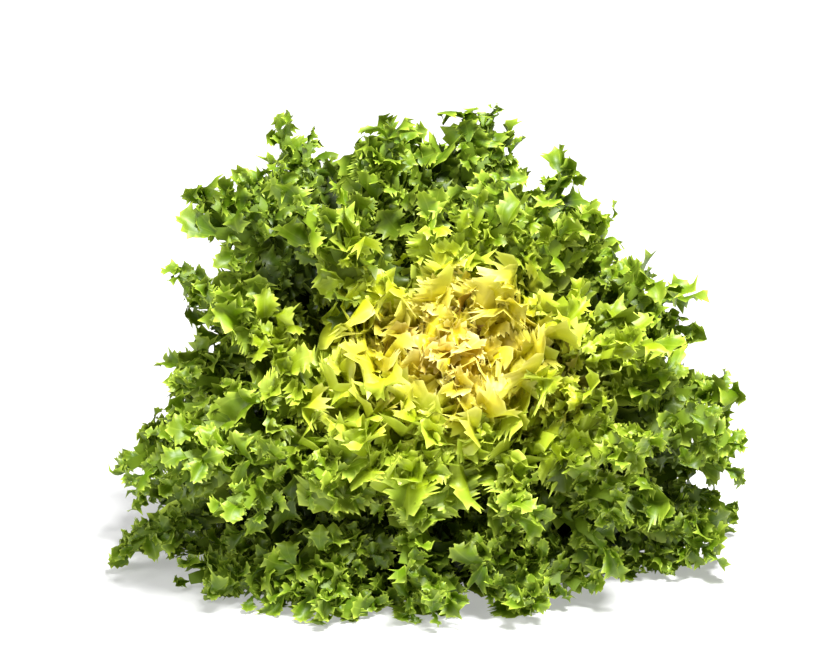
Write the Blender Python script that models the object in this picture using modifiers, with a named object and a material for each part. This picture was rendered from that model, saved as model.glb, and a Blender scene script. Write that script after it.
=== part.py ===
"""A cut head of curly endive, lying on a flat surface with its heart turned up and forwards.

The head is a rosette: long leaves spring square off a short domed stem, the innermost upright and the
outermost swept back, one after another by the golden angle. Their tips arch outwards, so that the head
is a dome. Each leaf is a thin blade on a fleshy rib, with blunt lobes down both edges that twist up and
down in turn. Where a leaf comes down to the surface it bends and lies flat on it. The heart is a tuft of
small leaves grown together round a bud. Metres, +Z up, -Y to the front, origin on the surface under the
middle of the head.
"""

import math
import random

import bmesh
import bpy
from mathutils import Matrix, Vector

# The head as a whole
HEAD_LEAN = math.radians(60)  # the rosette's axis leans this far forwards from upright
STEM_CENTRE = Vector((0.0, 0.030, 0.060))  # centre of the dome that the leaves spring from
AXIS = Vector((0, -math.sin(HEAD_LEAN), math.cos(HEAD_LEAN)))
RISING = Vector((0, math.cos(HEAD_LEAN), math.sin(HEAD_LEAN)))  # square to the axis, up and back
SIDEWAYS = Vector((1, 0, 0))
GOLDEN_ANGLE = math.radians(137.508)
SEED = 24

# The stem, turned about the axis
STEM_RADIUS = 0.016
STEM_LENGTH = 0.024  # from the dome's centre down to the cut
STEM_TAPER = 0.94
STEM_SIDES = 20
DOME_STEPS = 6
LEAF_GAP = 0.0004  # between the stem and what grows from it

# The rosette's leaves: a pair of values is for the innermost leaf and the outermost
LEAF_COUNT = 44
ROOT_LEAN = (math.radians(26), math.radians(96))  # from the axis, where a leaf leaves the stem
MID_LEAN = (math.radians(22), math.radians(104))  # what the leaf bends towards between its ends
TIP_LEAN = (math.radians(82), math.radians(118))  # and at its tip
SAG = math.radians(14)  # leaves that grow sideways swing down this much by their tips
INNER_LENGTH = 0.116
LONGEST_LENGTH = 0.156
OUTERMOST_LENGTH = 0.142
LONGEST_AT = 0.62  # how far out the longest leaves grow, as a share of the leaves
LENGTHENING = 0.8  # power of the rise from the inner length to the longest; under 1 it rises early
TOP_SHORTER = 0.01  # leaves that run up over the top are this much shorter
FRONT_SHORTER = 0.12  # and so are those that run down to the front
# Azimuths round which leaves are shorter, by what share and over what angle. The head is drawn in at both
# sides and stands out low at each and high at its left, where the share is below zero
DRAWN_IN = (
    (math.radians(-72), 0.26, math.radians(18)),
    (math.radians(56), 0.10, math.radians(24)),
    (math.radians(-42), -0.10, math.radians(14)),
    (math.radians(-108), -0.12, math.radians(20)),
    (math.radians(100), -0.10, math.radians(22)),
)
LENGTH_VARIES = 0.05
TURN_VARIES = math.radians(2)
HALF_WIDTH = (0.024, 0.032)
FULL_WIDTH_AT = 0.5  # how far out a leaf has its full width, as a share of the leaves
WIDEST_ANGLE = math.radians(15.5)  # a leaf spans at most this much to each side, seen from the axis
TIGHTEST_CURL = 0.008  # a blade curls round the head on at least this radius

INNER_SHARE = 0.30  # leaves within this share of them are the inner ones
MIDDLE_SHARE = 0.60  # and within this the middle ones

# A leaf's blade
LOBES = 7  # down each edge
# How far along a lobe its two corners and the notch after it come, how wide they are and how they rise
LOBE_ROWS = ((0.22, 1.0, 1.0), (0.74, 0.90, 0.3), (1.0, 0.42, 0.0))
LOBE_VARIES = 0.25
PETIOLE_ROWS = 2
PETIOLE_END = 0.14  # share of the length that is bare rib
PETIOLE_HALF_WIDTH = 0.0036
OPENING = (0.08, 0.58)  # shares of the length between which the blade widens
BASE_WIDTH = 0.20  # the blade's width before it widens, as a share of the widest
CLOSING = (0.74, 1.0)  # shares of the length between which it narrows again
TIP_WIDTH = 0.60
SWEEP = 0.40  # lobes lean towards the tip by this share of their length
SWEEP_FADE = 6  # power by which they lean less near the tip
RUFFLE = math.tan(math.radians(4.6))  # rise of a lobe's corner, as a share of the distance from the stem
BLADE_THICKNESS = 0.0009
RIB_THICKNESS = 0.0022
RIB_END = 0.78  # share of the length where the rib has thinned down to the blade
RIB_EDGE = 0.45  # share of the rib's extra thickness at the edges of its bare stretch

# Where leaves lie on the surface
FLOOR_LAYER = 0.0034  # between leaves that lie on each other
LANDING = 0.012  # height over which a leaf turns level
TOUCHING = 0.0003  # a rib this near to its floor lies on it
SHARED_ANGLE = math.radians(34)  # leaves closer than this round the axis lie over each other
ROLLING = 2.0  # a lobe stands at most this many times as far above its rib as the rib is off its floor
PRESSED = 0.55  # share of its length that a lobe keeps where it is bent level

# The heart
HEART_COUNT = 10
HEART_LENGTH = (0.084, 0.080)
HEART_ROOT_LEAN = (math.radians(2), math.radians(14))
HEART_MID_LEAN = (math.radians(2), math.radians(14))
HEART_TIP_LEAN = (math.radians(24), math.radians(60))
HEART_HALF_WIDTH = 0.015
HEART_WIDEST_ANGLE = math.radians(48)
HEART_LOBES = 4
HEART_RUFFLE = math.tan(math.radians(4))
BUD_RADIUS = 0.0066
BUD_HEIGHT = 0.040
BUD_PROFILE = ((0.0, 1.0), (0.6, 0.8), (1.0, 0.4), (1.0, 0.0), (0.0, 0.0))  # shares of its radius and height
BUD_SIDES = 12

STEP = 0.001  # along a rib, while it is traced
BEYOND_TIP = 1.25  # a rib is traced this much longer than the leaf, for lobes that pass its end

MATERIALS = {
    "stem": ((0.80, 0.78, 0.55), 0.60),
    "leaf_green": ((0.10, 0.25, 0.02), 0.45),
    "leaf_light": ((0.27, 0.46, 0.05), 0.45),
    "leaf_pale": ((0.52, 0.60, 0.10), 0.45),
    "heart": ((0.83, 0.66, 0.09), 0.50),
}


def between(pair, share):
    """The value that far from the first of a pair to the second."""
    return pair[0] + (pair[1] - pair[0]) * share


def smooth(value, start, end):
    """0 before the start, 1 after the end and an even S in between."""
    share = min(max((value - start) / (end - start), 0.0), 1.0)
    return share * share * (3 - 2 * share)


class Leaf:
    """One leaf's place in the rosette, and its rib as traced from the stem to the tip."""

    def __init__(self, azimuth, leans, length, half_width, widest_angle, root, floor):
        self.azimuth = azimuth
        self.leans = leans
        self.length = length
        self.half_width = half_width
        self.widest_angle = widest_angle
        self.floor = floor
        self.rib = []
        self.trace(root)

    def outward(self, share):
        """Straight away from the axis, swinging down to the side towards the tip."""
        turn = self.azimuth + SAG * share * share * math.sin(self.azimuth)
        return RISING * math.cos(turn) + SIDEWAYS * math.sin(turn)

    def lean(self, share):
        """The rib's angle from the axis, at a share of the leaf's length."""
        root, middle, tip = self.leans
        rest = 1 - share
        return rest * rest * root + 2 * rest * share * middle + share * share * tip

    def trace(self, root):
        """Follows the rib in short steps. It turns level where it comes down to its floor."""
        point = root.copy()
        for i in range(round(self.length * BEYOND_TIP / STEP) + 1):
            share = i * STEP / self.length
            lowest = self.floor + between((BLADE_THICKNESS, RIB_THICKNESS), rib_weight(share)) / 2
            if point.z - lowest < TOUCHING:
                point.z = lowest
            outward = self.outward(share)
            lean = self.lean(share)
            direction = AXIS * math.cos(lean) + outward * math.sin(lean)
            steepest = -min(max(point.z - lowest, 0) / LANDING, 1)
            if direction.z < steepest:
                level = Vector((direction.x, direction.y, 0)).normalized()
                direction = level * math.sqrt(1 - steepest * steepest) + Vector((0, 0, steepest))
            upper = direction.cross(AXIS.cross(outward)).normalized()
            self.rib.append((point.copy(), direction, upper, outward))
            point += direction * STEP

    def point(self, along, across, lift, clearance):
        """A point of the blade: a distance along the rib, one to the side of it and a rise off it.

        What would come nearer to the leaf's floor than the clearance is bent outwards and lies on it,
        and a blade whose rib comes down to its floor rolls flat.
        """
        place, direction, upper, outward = self.rib[min(round(along / STEP), len(self.rib) - 1)]
        lowest = self.floor + clearance
        from_axis = place - STEM_CENTRE
        radius = max((from_axis - AXIS * from_axis.dot(AXIS)).length, TIGHTEST_CURL)
        centre = place - outward * radius
        turn = math.copysign(min(abs(across) / radius, self.widest_angle), across)
        turned = Matrix.Rotation(turn, 3, AXIS)
        spread = centre + turned @ (place - centre)
        reach = spread - place
        height = max(place.z - lowest, 0)
        steepest = height if reach.z < 0 else height * ROLLING
        if abs(reach.z) > steepest:
            kept = steepest / abs(reach.z)
            sideways = reach - direction * reach.dot(direction)
            level = Vector((sideways.x, sideways.y, 0)).normalized()
            spread = place + reach * kept + level * reach.length * (1 - kept) * PRESSED
        room = max(min(place.z, spread.z) - lowest, 0)
        moved = spread + turned @ upper * math.copysign(min(abs(lift), room), lift)
        moved.z = max(moved.z, lowest)
        return moved


def rib_weight(share):
    """How much of the rib's extra thickness is left at a share of the leaf's length."""
    return max(0.0, 1 - share / RIB_END)


def blade_width(share):
    """The blade's half width at a share of the leaf's length, as a share of the widest."""
    opening = between((BASE_WIDTH, 1.0), smooth(share, *OPENING))
    closing = between((1.0, TIP_WIDTH), smooth(share, *CLOSING))
    return opening * closing


def blade_object(name, leaf, lobes, ruffle, material):
    """A leaf as a grid laid on its rib, cut into lobes along both edges and given its thickness."""
    per_lobe = len(LOBE_ROWS)
    rows = PETIOLE_ROWS + per_lobe * lobes
    draw = random.Random(name)
    bm = bmesh.new()
    bmesh.ops.create_grid(bm, x_segments=rows, y_segments=2, size=1)
    rib_weights = []
    for vertex in bm.verts:
        row = round((vertex.co.x + 1) / 2 * rows)
        side = round(vertex.co.y)
        past = row - PETIOLE_ROWS - 1
        if past < 0:
            share = PETIOLE_END * row / PETIOLE_ROWS
            half_width = PETIOLE_HALF_WIDTH
            sweep = lift = 0.0
            weight = RIB_EDGE if side else rib_weight(share)
        else:
            into, wide, rise = LOBE_ROWS[past % per_lobe]
            share = PETIOLE_END + (1 - PETIOLE_END) * (past // per_lobe + into) / lobes
            wide *= draw.uniform(1 - LOBE_VARIES, 1)
            half_width = max(leaf.half_width * blade_width(share) * wide, PETIOLE_HALF_WIDTH)
            turned_up = 1 if (past // per_lobe + (side > 0)) % 2 == 0 else -1
            rise *= abs(side) * turned_up * draw.uniform(1 - LOBE_VARIES, 1)
            lift = ruffle * share * leaf.length * rise
            sweep = SWEEP * half_width * abs(side) * (1 - share**SWEEP_FADE)
            weight = 0.0 if side else rib_weight(share)
        rib_weights.append(weight)
        clearance = between((BLADE_THICKNESS, RIB_THICKNESS), weight) / 2
        vertex.co = leaf.point(share * leaf.length + sweep, side * half_width, lift, clearance)
    bmesh.ops.triangulate(bm, faces=bm.faces[:])
    mesh = bpy.data.meshes.new(name)
    bm.to_mesh(mesh)
    bm.free()
    blade = bpy.data.objects.new(name, mesh)
    group = blade.vertex_groups.new(name="rib")
    for index, weight in enumerate(rib_weights):
        group.add([index], weight, "REPLACE")
    thickness = blade.modifiers.new("thickness", "SOLIDIFY")
    thickness.thickness = RIB_THICKNESS
    thickness.offset = 0
    thickness.vertex_group = "rib"
    thickness.thickness_vertex_group = BLADE_THICKNESS / RIB_THICKNESS
    mesh.materials.append(bpy.data.materials[material])
    return blade


def make_materials():
    for name, (colour, roughness) in MATERIALS.items():
        material = bpy.data.materials.new(name)
        material.use_nodes = True
        shader = material.node_tree.nodes["Principled BSDF"]
        shader.inputs["Base Color"].default_value = (*colour, 1)
        shader.inputs["Roughness"].default_value = roughness
        shader.inputs["Metallic"].default_value = 0.0


def turned_object(name, profile, sides, material):
    """A profile of (radius, height) pairs turned about the rosette's axis, with the stem's centre at 0."""
    mesh = bpy.data.meshes.new(name)
    bm = bmesh.new()
    points = [bm.verts.new((radius, 0, height)) for radius, height in profile]
    for first, second in zip(points, points[1:]):
        bm.edges.new((first, second))
    bm.to_mesh(mesh)
    bm.free()
    turned = bpy.data.objects.new(name, mesh)
    screw = turned.modifiers.new("turned", "SCREW")
    screw.steps = sides
    screw.render_steps = sides
    screw.use_merge_vertices = True
    screw.merge_threshold = 0.0001
    mesh.materials.append(bpy.data.materials[material])
    turned.location = STEM_CENTRE
    turned.rotation_euler = (HEAD_LEAN, 0, 0)
    return turned


def add_stem(collection):
    """The cut stem, from the top of its dome down its side to the middle of the cut."""
    angles = [math.pi / 2 * i / DOME_STEPS for i in range(DOME_STEPS + 1)]
    profile = [(STEM_RADIUS * math.sin(angle), STEM_RADIUS * math.cos(angle)) for angle in angles]
    profile += [(STEM_RADIUS * STEM_TAPER, -STEM_LENGTH), (0, -STEM_LENGTH)]
    collection.objects.link(turned_object("stem", profile, STEM_SIDES, "stem"))


def add_heart(collection):
    """The heart: small upright leaves that cross each other, joined round a bud as one body."""
    base = STEM_RADIUS + LEAF_GAP
    profile = [(BUD_RADIUS * across, base + BUD_HEIGHT * up) for across, up in BUD_PROFILE]
    heart = turned_object("heart_leaves", profile, BUD_SIDES, "heart")
    collection.objects.link(heart)
    joined = bpy.data.collections.new("heart_parts")
    bpy.context.scene.collection.children.link(joined)
    root = STEM_CENTRE + AXIS * (base + BUD_RADIUS)
    for i in range(HEART_COUNT):
        share = i / (HEART_COUNT - 1)
        leans = [between(pair, share) for pair in (HEART_ROOT_LEAN, HEART_MID_LEAN, HEART_TIP_LEAN)]
        leaf = Leaf(
            i * GOLDEN_ANGLE,
            leans,
            between(HEART_LENGTH, share),
            HEART_HALF_WIDTH,
            HEART_WIDEST_ANGLE,
            root,
            0.0,
        )
        joined.objects.link(blade_object(f"heart_leaf_{i:02d}", leaf, HEART_LOBES, HEART_RUFFLE, "heart"))
    union = heart.modifiers.new("joined", "BOOLEAN")
    union.operation = "UNION"
    union.operand_type = "COLLECTION"
    union.collection = joined
    union.solver = "MANIFOLD"
    graph = bpy.context.evaluated_depsgraph_get()
    mesh = bpy.data.meshes.new_from_object(heart.evaluated_get(graph))
    heart.modifiers.clear()
    heart.data = mesh
    for part in list(joined.objects):
        bpy.data.objects.remove(part)
    bpy.data.collections.remove(joined)


def leaf_length(share, azimuth):
    """Inner leaves are short, and so are the outermost; then the side that a leaf grows to shortens it."""
    if share < LONGEST_AT:
        length = between((INNER_LENGTH, LONGEST_LENGTH), (share / LONGEST_AT) ** LENGTHENING)
    else:
        length = between((LONGEST_LENGTH, OUTERMOST_LENGTH), (share - LONGEST_AT) / (1 - LONGEST_AT))
    rising = math.cos(azimuth)
    shorter = TOP_SHORTER * max(rising, 0) + FRONT_SHORTER * max(-rising, 0)
    for middle, most, spread in DRAWN_IN:
        shorter += most * math.exp(-((math.remainder(azimuth - middle, math.tau) / spread) ** 2))
    return length * (1 - shorter)


def rosette():
    """Every leaf of the rosette, from the innermost to the outermost."""
    draw = random.Random(SEED)
    azimuths = [i * GOLDEN_ANGLE + draw.uniform(-TURN_VARIES, TURN_VARIES) for i in range(LEAF_COUNT)]
    leaves = []
    for i, azimuth in enumerate(azimuths):
        share = i / (LEAF_COUNT - 1)
        leans = [between(pair, share) for pair in (ROOT_LEAN, MID_LEAN, TIP_LEAN)]
        outward = RISING * math.cos(azimuth) + SIDEWAYS * math.sin(azimuth)
        root = AXIS * math.cos(leans[0]) + outward * math.sin(leans[0])
        apart = [abs(math.remainder(other - azimuth, math.tau)) for other in azimuths[i + 1 :]]
        below = sum(angle < SHARED_ANGLE for angle in apart)
        leaves.append(
            Leaf(
                azimuth,
                leans,
                leaf_length(share, azimuth) * draw.uniform(1 - LENGTH_VARIES, 1 + LENGTH_VARIES),
                between(HALF_WIDTH, smooth(share, 0.0, FULL_WIDTH_AT)),
                WIDEST_ANGLE,
                STEM_CENTRE + root * (STEM_RADIUS + LEAF_GAP),
                FLOOR_LAYER * below,
            )
        )
    return leaves


def leaf_family(share):
    """A leaf's plain name and its colour, by how far out it grows."""
    if share < INNER_SHARE:
        return "inner_leaf", "leaf_pale"
    if share < MIDDLE_SHARE:
        return "middle_leaf", "leaf_light"
    return "outer_leaf", "leaf_green"


def add_leaves(collection):
    counts = {}
    for i, leaf in enumerate(rosette()):
        family, material = leaf_family(i / (LEAF_COUNT - 1))
        counts[family] = counts.get(family, 0) + 1
        name = f"{family}_{counts[family]:02d}"
        collection.objects.link(blade_object(name, leaf, LOBES, RUFFLE, material))


def centre_over_origin(objects):
    """Slides the head so that its box stands over the origin, on the surface."""
    bpy.context.view_layer.update()
    graph = bpy.context.evaluated_depsgraph_get()
    corners = []
    for part in objects:
        evaluated = part.evaluated_get(graph)
        corners += [evaluated.matrix_world @ vertex.co for vertex in evaluated.data.vertices]
    low = [min(corner[k] for corner in corners) for k in range(3)]
    high = [max(corner[k] for corner in corners) for k in range(3)]
    middle = Vector(((low[0] + high[0]) / 2, (low[1] + high[1]) / 2, low[2]))
    for part in objects:
        part.location -= middle


for old in list(bpy.data.objects):
    bpy.data.objects.remove(old)
head = bpy.data.collections.new("curly_endive_head")
bpy.context.scene.collection.children.link(head)
make_materials()
add_stem(head)
add_heart(head)
add_leaves(head)
centre_over_origin(head.objects)
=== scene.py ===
# %% [markdown]
# # A curly endive head
# A curly endive, or frisée, is a salad head that has been cut off at the stem. It is a rosette of long
# leaves. Each leaf is a pale rib with many small toothed lobes down both sides, and the lobes curl so much
# that from outside only a mass of frills shows. The heart was kept from the light, so it is yellow.
#
# The packed model comes in first. It holds the plain leaves as solids, and everything made here lies on
# the same ribs as those, so nothing has to be fitted afterwards.

# %% Load the packed model
import math
import random

import bpy
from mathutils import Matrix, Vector


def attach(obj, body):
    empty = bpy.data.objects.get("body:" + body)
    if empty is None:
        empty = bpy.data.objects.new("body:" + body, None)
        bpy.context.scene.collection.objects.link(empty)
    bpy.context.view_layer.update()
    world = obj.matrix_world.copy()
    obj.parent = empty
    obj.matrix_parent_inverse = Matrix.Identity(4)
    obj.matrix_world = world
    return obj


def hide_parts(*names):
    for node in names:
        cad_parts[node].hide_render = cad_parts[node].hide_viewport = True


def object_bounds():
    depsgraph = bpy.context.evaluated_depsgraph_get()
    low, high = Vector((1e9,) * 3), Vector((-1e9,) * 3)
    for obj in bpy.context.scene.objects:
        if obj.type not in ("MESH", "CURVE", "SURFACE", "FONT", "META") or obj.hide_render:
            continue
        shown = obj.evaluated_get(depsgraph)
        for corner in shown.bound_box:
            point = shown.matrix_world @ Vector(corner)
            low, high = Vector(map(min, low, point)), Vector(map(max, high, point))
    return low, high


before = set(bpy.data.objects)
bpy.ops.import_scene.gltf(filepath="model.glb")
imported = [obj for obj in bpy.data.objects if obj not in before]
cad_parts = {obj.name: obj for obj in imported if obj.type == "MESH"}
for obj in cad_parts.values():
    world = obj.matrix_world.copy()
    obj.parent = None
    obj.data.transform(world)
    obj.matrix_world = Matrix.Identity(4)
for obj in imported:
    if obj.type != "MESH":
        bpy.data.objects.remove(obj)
cad_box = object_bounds()
print("solids:", len(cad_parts), "box:", cad_box)

# %% [markdown]
# ## One helper for nodes
# Materials and Geometry Nodes trees are both made of nodes with inputs and links. One small function
# adds a node, sets its options, and fills each input with a value or with a link from another node.


# %% Add a node with its settings and links
def add_node(tree, kind, inputs=None, **settings):
    """Adds a node. inputs gives a value or another node's output for a socket's name or number."""
    node = tree.nodes.new(kind)
    for setting, value in settings.items():
        setattr(node, setting, value)
    for key, value in (inputs or {}).items():
        if isinstance(value, bpy.types.NodeSocket):
            tree.links.new(value, node.inputs[key])
        else:
            node.inputs[key].default_value = value
    return node


print("helper ready:", add_node.__name__)

# %% [markdown]
# ## Colours
# A listed colour is an sRGB value, but shaders add up light, so they need linear values. This
# function turns a hex colour to linear once, and every colour below goes through it.


# %% Turn a hex colour to linear
def linear(hex_colour):
    channels = [int(hex_colour[i : i + 2], 16) / 255 for i in (1, 3, 5)]
    return [c / 12.92 if c <= 0.04045 else ((c + 0.055) / 1.055) ** 2.4 for c in channels] + [1.0]


print("white stays white:", linear("#ffffff"))

# %% [markdown]
# ## Where the leaves grow
# A rosette packs its leaves by the golden angle: each new leaf is turned 137.5 degrees from the last, so
# that no two lie right over each other. The innermost leaves stand up along the axis, and the outermost
# lean back past square to it. The head lies on a table with its axis turned up and towards the viewer.
# The same rule and the same random draws made the solids, so these ribs run through them.

# %% Frame of the rosette
HEAD_LEAN = math.radians(60)
STEM_CENTRE = Vector((0.000834, 0.013976, 0.060))
AXIS = Vector((0, -math.sin(HEAD_LEAN), math.cos(HEAD_LEAN)))
RISING = Vector((0, math.cos(HEAD_LEAN), math.sin(HEAD_LEAN)))
SIDEWAYS = Vector((1, 0, 0))
GOLDEN_ANGLE = math.radians(137.508)
STEM_RADIUS = 0.016
RIB_STEP = 0.001  # metres


def between(pair, share):
    """The value at a share of the way from the pair's first to its second."""
    return pair[0] + (pair[1] - pair[0]) * share


def smooth(value, start, end):
    """Nought before start, one after end, and an easy rise from one to the other."""
    share = min(max((value - start) / (end - start), 0.0), 1.0)
    return share * share * (3 - 2 * share)


print("the axis points to:", tuple(round(part, 3) for part in AXIS))

# %% [markdown]
# ## Tracing a rib
# A rib starts on the stem and goes out in short steps, and its angle from the axis changes on the way:
# that arch is what makes the head a dome. Where a rib comes down to the table it turns level and lies
# on it. Each point keeps the side of the leaf that is its upper one, so lobes can be laid on it later.

# %% Trace a leaf's rib
SAG = math.radians(14)  # how far round towards the table a leaf's tip hangs
LANDING = 0.012  # height over which a rib turns level, above where it lies


def trace_rib(azimuth, leans, length, floor):
    """The rib's points, each with its direction, its upper side and its share of the length."""
    root = AXIS * math.cos(leans[0])
    root += (RISING * math.cos(azimuth) + SIDEWAYS * math.sin(azimuth)) * math.sin(leans[0])
    place = STEM_CENTRE + root * STEM_RADIUS
    rib = []
    for i in range(round(length / RIB_STEP) + 1):
        share = i * RIB_STEP / length
        turn = azimuth + SAG * share * share * math.sin(azimuth)
        outward = RISING * math.cos(turn) + SIDEWAYS * math.sin(turn)
        rest = 1 - share
        lean = rest * rest * leans[0] + 2 * rest * share * leans[1] + share * share * leans[2]
        direction = AXIS * math.cos(lean) + outward * math.sin(lean)
        steepest = -min(max(place.z - floor, 0) / LANDING, 1)
        if direction.z < steepest:
            level = Vector((direction.x, direction.y, 0)).normalized()
            direction = level * math.sqrt(1 - steepest * steepest) + Vector((0, 0, steepest))
        upper = direction.cross(AXIS.cross(outward)).normalized()
        rib.append((place.copy(), direction, upper, share))
        place += direction * RIB_STEP
    return rib


upright = trace_rib(0.0, [math.radians(angle) for angle in (30, 30, 90)], 0.12, 0.0)
print("a rib of 120 mm ends at:", tuple(round(part, 3) for part in upright[-1][0]))

# %% [markdown]
# ## How long a leaf is, and how it leans
# Leaves near the heart are short and stand up. Further out they grow longer and lean back more, and the
# outermost are a little shorter again. A real head's leaves aren't equally long all round either, so a table
# gives the sides on which they are shorter or longer. Each leaf could have a length of its own in a list,
# but a rule also serves the leaves that are added between those of the solids.

# %% Say how long a leaf is, and how it leans
ROOT_LEAN = (math.radians(26), math.radians(96))
MID_LEAN = (math.radians(22), math.radians(104))
TIP_LEAN = (math.radians(82), math.radians(118))
LONGEST_AT = 0.62  # share of the way from the innermost leaf to the outermost
INNER_LENGTHS = (0.116, 0.156)  # metres, from the innermost leaf to the longest
OUTER_LENGTHS = (0.156, 0.142)  # from the longest to the outermost
LENGTHENS_EARLY = 0.8  # power: below 1, most of the growth in length comes near the heart
SHORTER_ABOVE = 0.01  # share of the length
SHORTER_BELOW = 0.12
# Azimuths round which leaves are shorter, by what share and over what angle. Below nought they are longer.
DRAWN_IN = (
    (math.radians(-72), 0.26, math.radians(18)),
    (math.radians(56), 0.10, math.radians(24)),
    (math.radians(-42), -0.10, math.radians(14)),
    (math.radians(-108), -0.12, math.radians(20)),
    (math.radians(100), -0.10, math.radians(22)),
)


def leaf_length(share, azimuth):
    if share < LONGEST_AT:
        length = between(INNER_LENGTHS, (share / LONGEST_AT) ** LENGTHENS_EARLY)
    else:
        length = between(OUTER_LENGTHS, (share - LONGEST_AT) / (1 - LONGEST_AT))
    shorter = SHORTER_ABOVE * max(math.cos(azimuth), 0) + SHORTER_BELOW * max(-math.cos(azimuth), 0)
    for middle, most, spread in DRAWN_IN:
        shorter += most * math.exp(-((math.remainder(azimuth - middle, math.tau) / spread) ** 2))
    return length * (1 - shorter)


def leans_at(share):
    return [between(pair, share) for pair in (ROOT_LEAN, MID_LEAN, TIP_LEAN)]


lengths = [round(leaf_length(step / 4, math.pi / 2), 3) for step in range(5)]
print("lengths towards the viewer's right, from the heart outwards:", lengths)

# %% [markdown]
# ## The rosette
# The solids have 44 leaves, which is as many as plain blades can show. A real head has well over a
# hundred, so two more leaves grow in each step between those, a little shorter and less even. They fill
# the head out without changing its outline. The families are only for keeping the pieces apart.

# %% Grow the leaves
LEAF_COUNT = 44
LENGTH_VARIES = (0.95, 1.05)
AZIMUTH_VARIES = math.radians(2)
FLOOR_LAYER = 0.0034  # height that each leaf underneath lifts the next by
SHARED_ANGLE = math.radians(34)  # leaves nearer than this round the axis lie on each other
FILL_TURNS = (0.34, 0.67)  # where between two leaves the added ones stand
FILL_LEAN_VARIES = math.radians(7)
FILL_AZIMUTH_VARIES = 0.2  # radians
FILL_LENGTHS = (0.79, 0.97)  # share of the length that a leaf of the solids would have there
FILL_LAYERS = (0.5, 6)  # leaves underneath
FAMILIES = ((0.30, "inner"), (0.60, "middle"), (0.80, "outer"), (9.0, "lowest"))


def family(share):
    return next(name for end, name in FAMILIES if share < end)


def grow_rosette():
    """(family, rib, tone) of each leaf: first those of the solids, then the ones between them."""
    draw = random.Random(24)
    more = random.Random(5)
    azimuths = [
        i * GOLDEN_ANGLE + draw.uniform(-AZIMUTH_VARIES, AZIMUTH_VARIES) for i in range(LEAF_COUNT)
    ]
    leaves = []
    for i, azimuth in enumerate(azimuths):
        share = i / (LEAF_COUNT - 1)
        apart = [abs(math.remainder(other - azimuth, math.tau)) for other in azimuths[i + 1 :]]
        below = sum(angle < SHARED_ANGLE for angle in apart)
        length = leaf_length(share, azimuth) * draw.uniform(*LENGTH_VARIES)
        rib = trace_rib(azimuth, leans_at(share), length, FLOOR_LAYER * below)
        leaves.append((family(share), rib, more.random()))
    for i in range(LEAF_COUNT - 1):
        for turn in FILL_TURNS:
            share = (i + turn) / (LEAF_COUNT - 1)
            azimuth = (i + turn) * GOLDEN_ANGLE + more.uniform(-FILL_AZIMUTH_VARIES, FILL_AZIMUTH_VARIES)
            leans = [lean + more.uniform(-1, 1) * FILL_LEAN_VARIES for lean in leans_at(share)]
            length = leaf_length(share, azimuth) * more.uniform(*FILL_LENGTHS)
            rib = trace_rib(azimuth, leans, length, FLOOR_LAYER * more.uniform(*FILL_LAYERS))
            leaves.append((family(share), rib, more.random()))
    return leaves


leaves = grow_rosette()
print("leaves:", {name: sum(leaf[0] == name for leaf in leaves) for _, name in FAMILIES})

# %% [markdown]
# ## The heart's leaves
# In the middle, many short leaves stand close together and only their curled tips open. They follow the
# same rule with smaller angles. On one side of the real heart the leaves haven't grown up yet, which
# leaves a dark hollow there, so leaves near that azimuth are shorter here.

# %% Grow the heart
HEART_COUNT = 64
HEART_ROOT_LEAN = (math.radians(2), math.radians(24))
HEART_MID_LEAN = (math.radians(2), math.radians(20))
HEART_TIP_LEAN = (math.radians(20), math.radians(84))
HEART_LENGTH = (0.086, 0.108)
HEART_LENGTH_VARIES = (0.84, 1.04)
HEART_LEAN_VARIES = 0.06  # radians
HEART_AZIMUTH_VARIES = 0.3
HOLLOW_AZIMUTH = math.radians(-40)
HOLLOW_SPREAD = math.radians(50)
HOLLOW_DEPTH = 0.22  # share of the length


def grow_heart():
    draw = random.Random(8)
    heart = []
    for i in range(HEART_COUNT):
        share = i / (HEART_COUNT - 1)
        pairs = (HEART_ROOT_LEAN, HEART_MID_LEAN, HEART_TIP_LEAN)
        leans = [
            between(pair, share) + draw.uniform(-HEART_LEAN_VARIES, HEART_LEAN_VARIES) for pair in pairs
        ]
        azimuth = i * GOLDEN_ANGLE + draw.uniform(-HEART_AZIMUTH_VARIES, HEART_AZIMUTH_VARIES)
        off_hollow = math.remainder(azimuth - HOLLOW_AZIMUTH, math.tau) / HOLLOW_SPREAD
        length = between(HEART_LENGTH, share) * draw.uniform(*HEART_LENGTH_VARIES)
        length *= 1 - HOLLOW_DEPTH * math.exp(-off_hollow * off_hollow)
        rib = trace_rib(azimuth, leans, length, 0.0)
        heart.append(("heart", rib, draw.random()))
    return heart


heart_leaves = grow_heart()
print("heart leaves:", len(heart_leaves))

# %% [markdown]
# ## One lobe, laid flat
# A lobe of curly endive is a small tongue: a narrow stalk that widens to a blade, with short pointed teeth
# all round and here and there a deeper notch. It could be cut out of a plane with a picture, but an edge
# made of real faces stays sharp and catches light. So each lobe is a row of stations, with a middle line,
# a line halfway out on each side, and an edge of bays and teeth. A small lobe comes to 40 to 64 faces.

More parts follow.
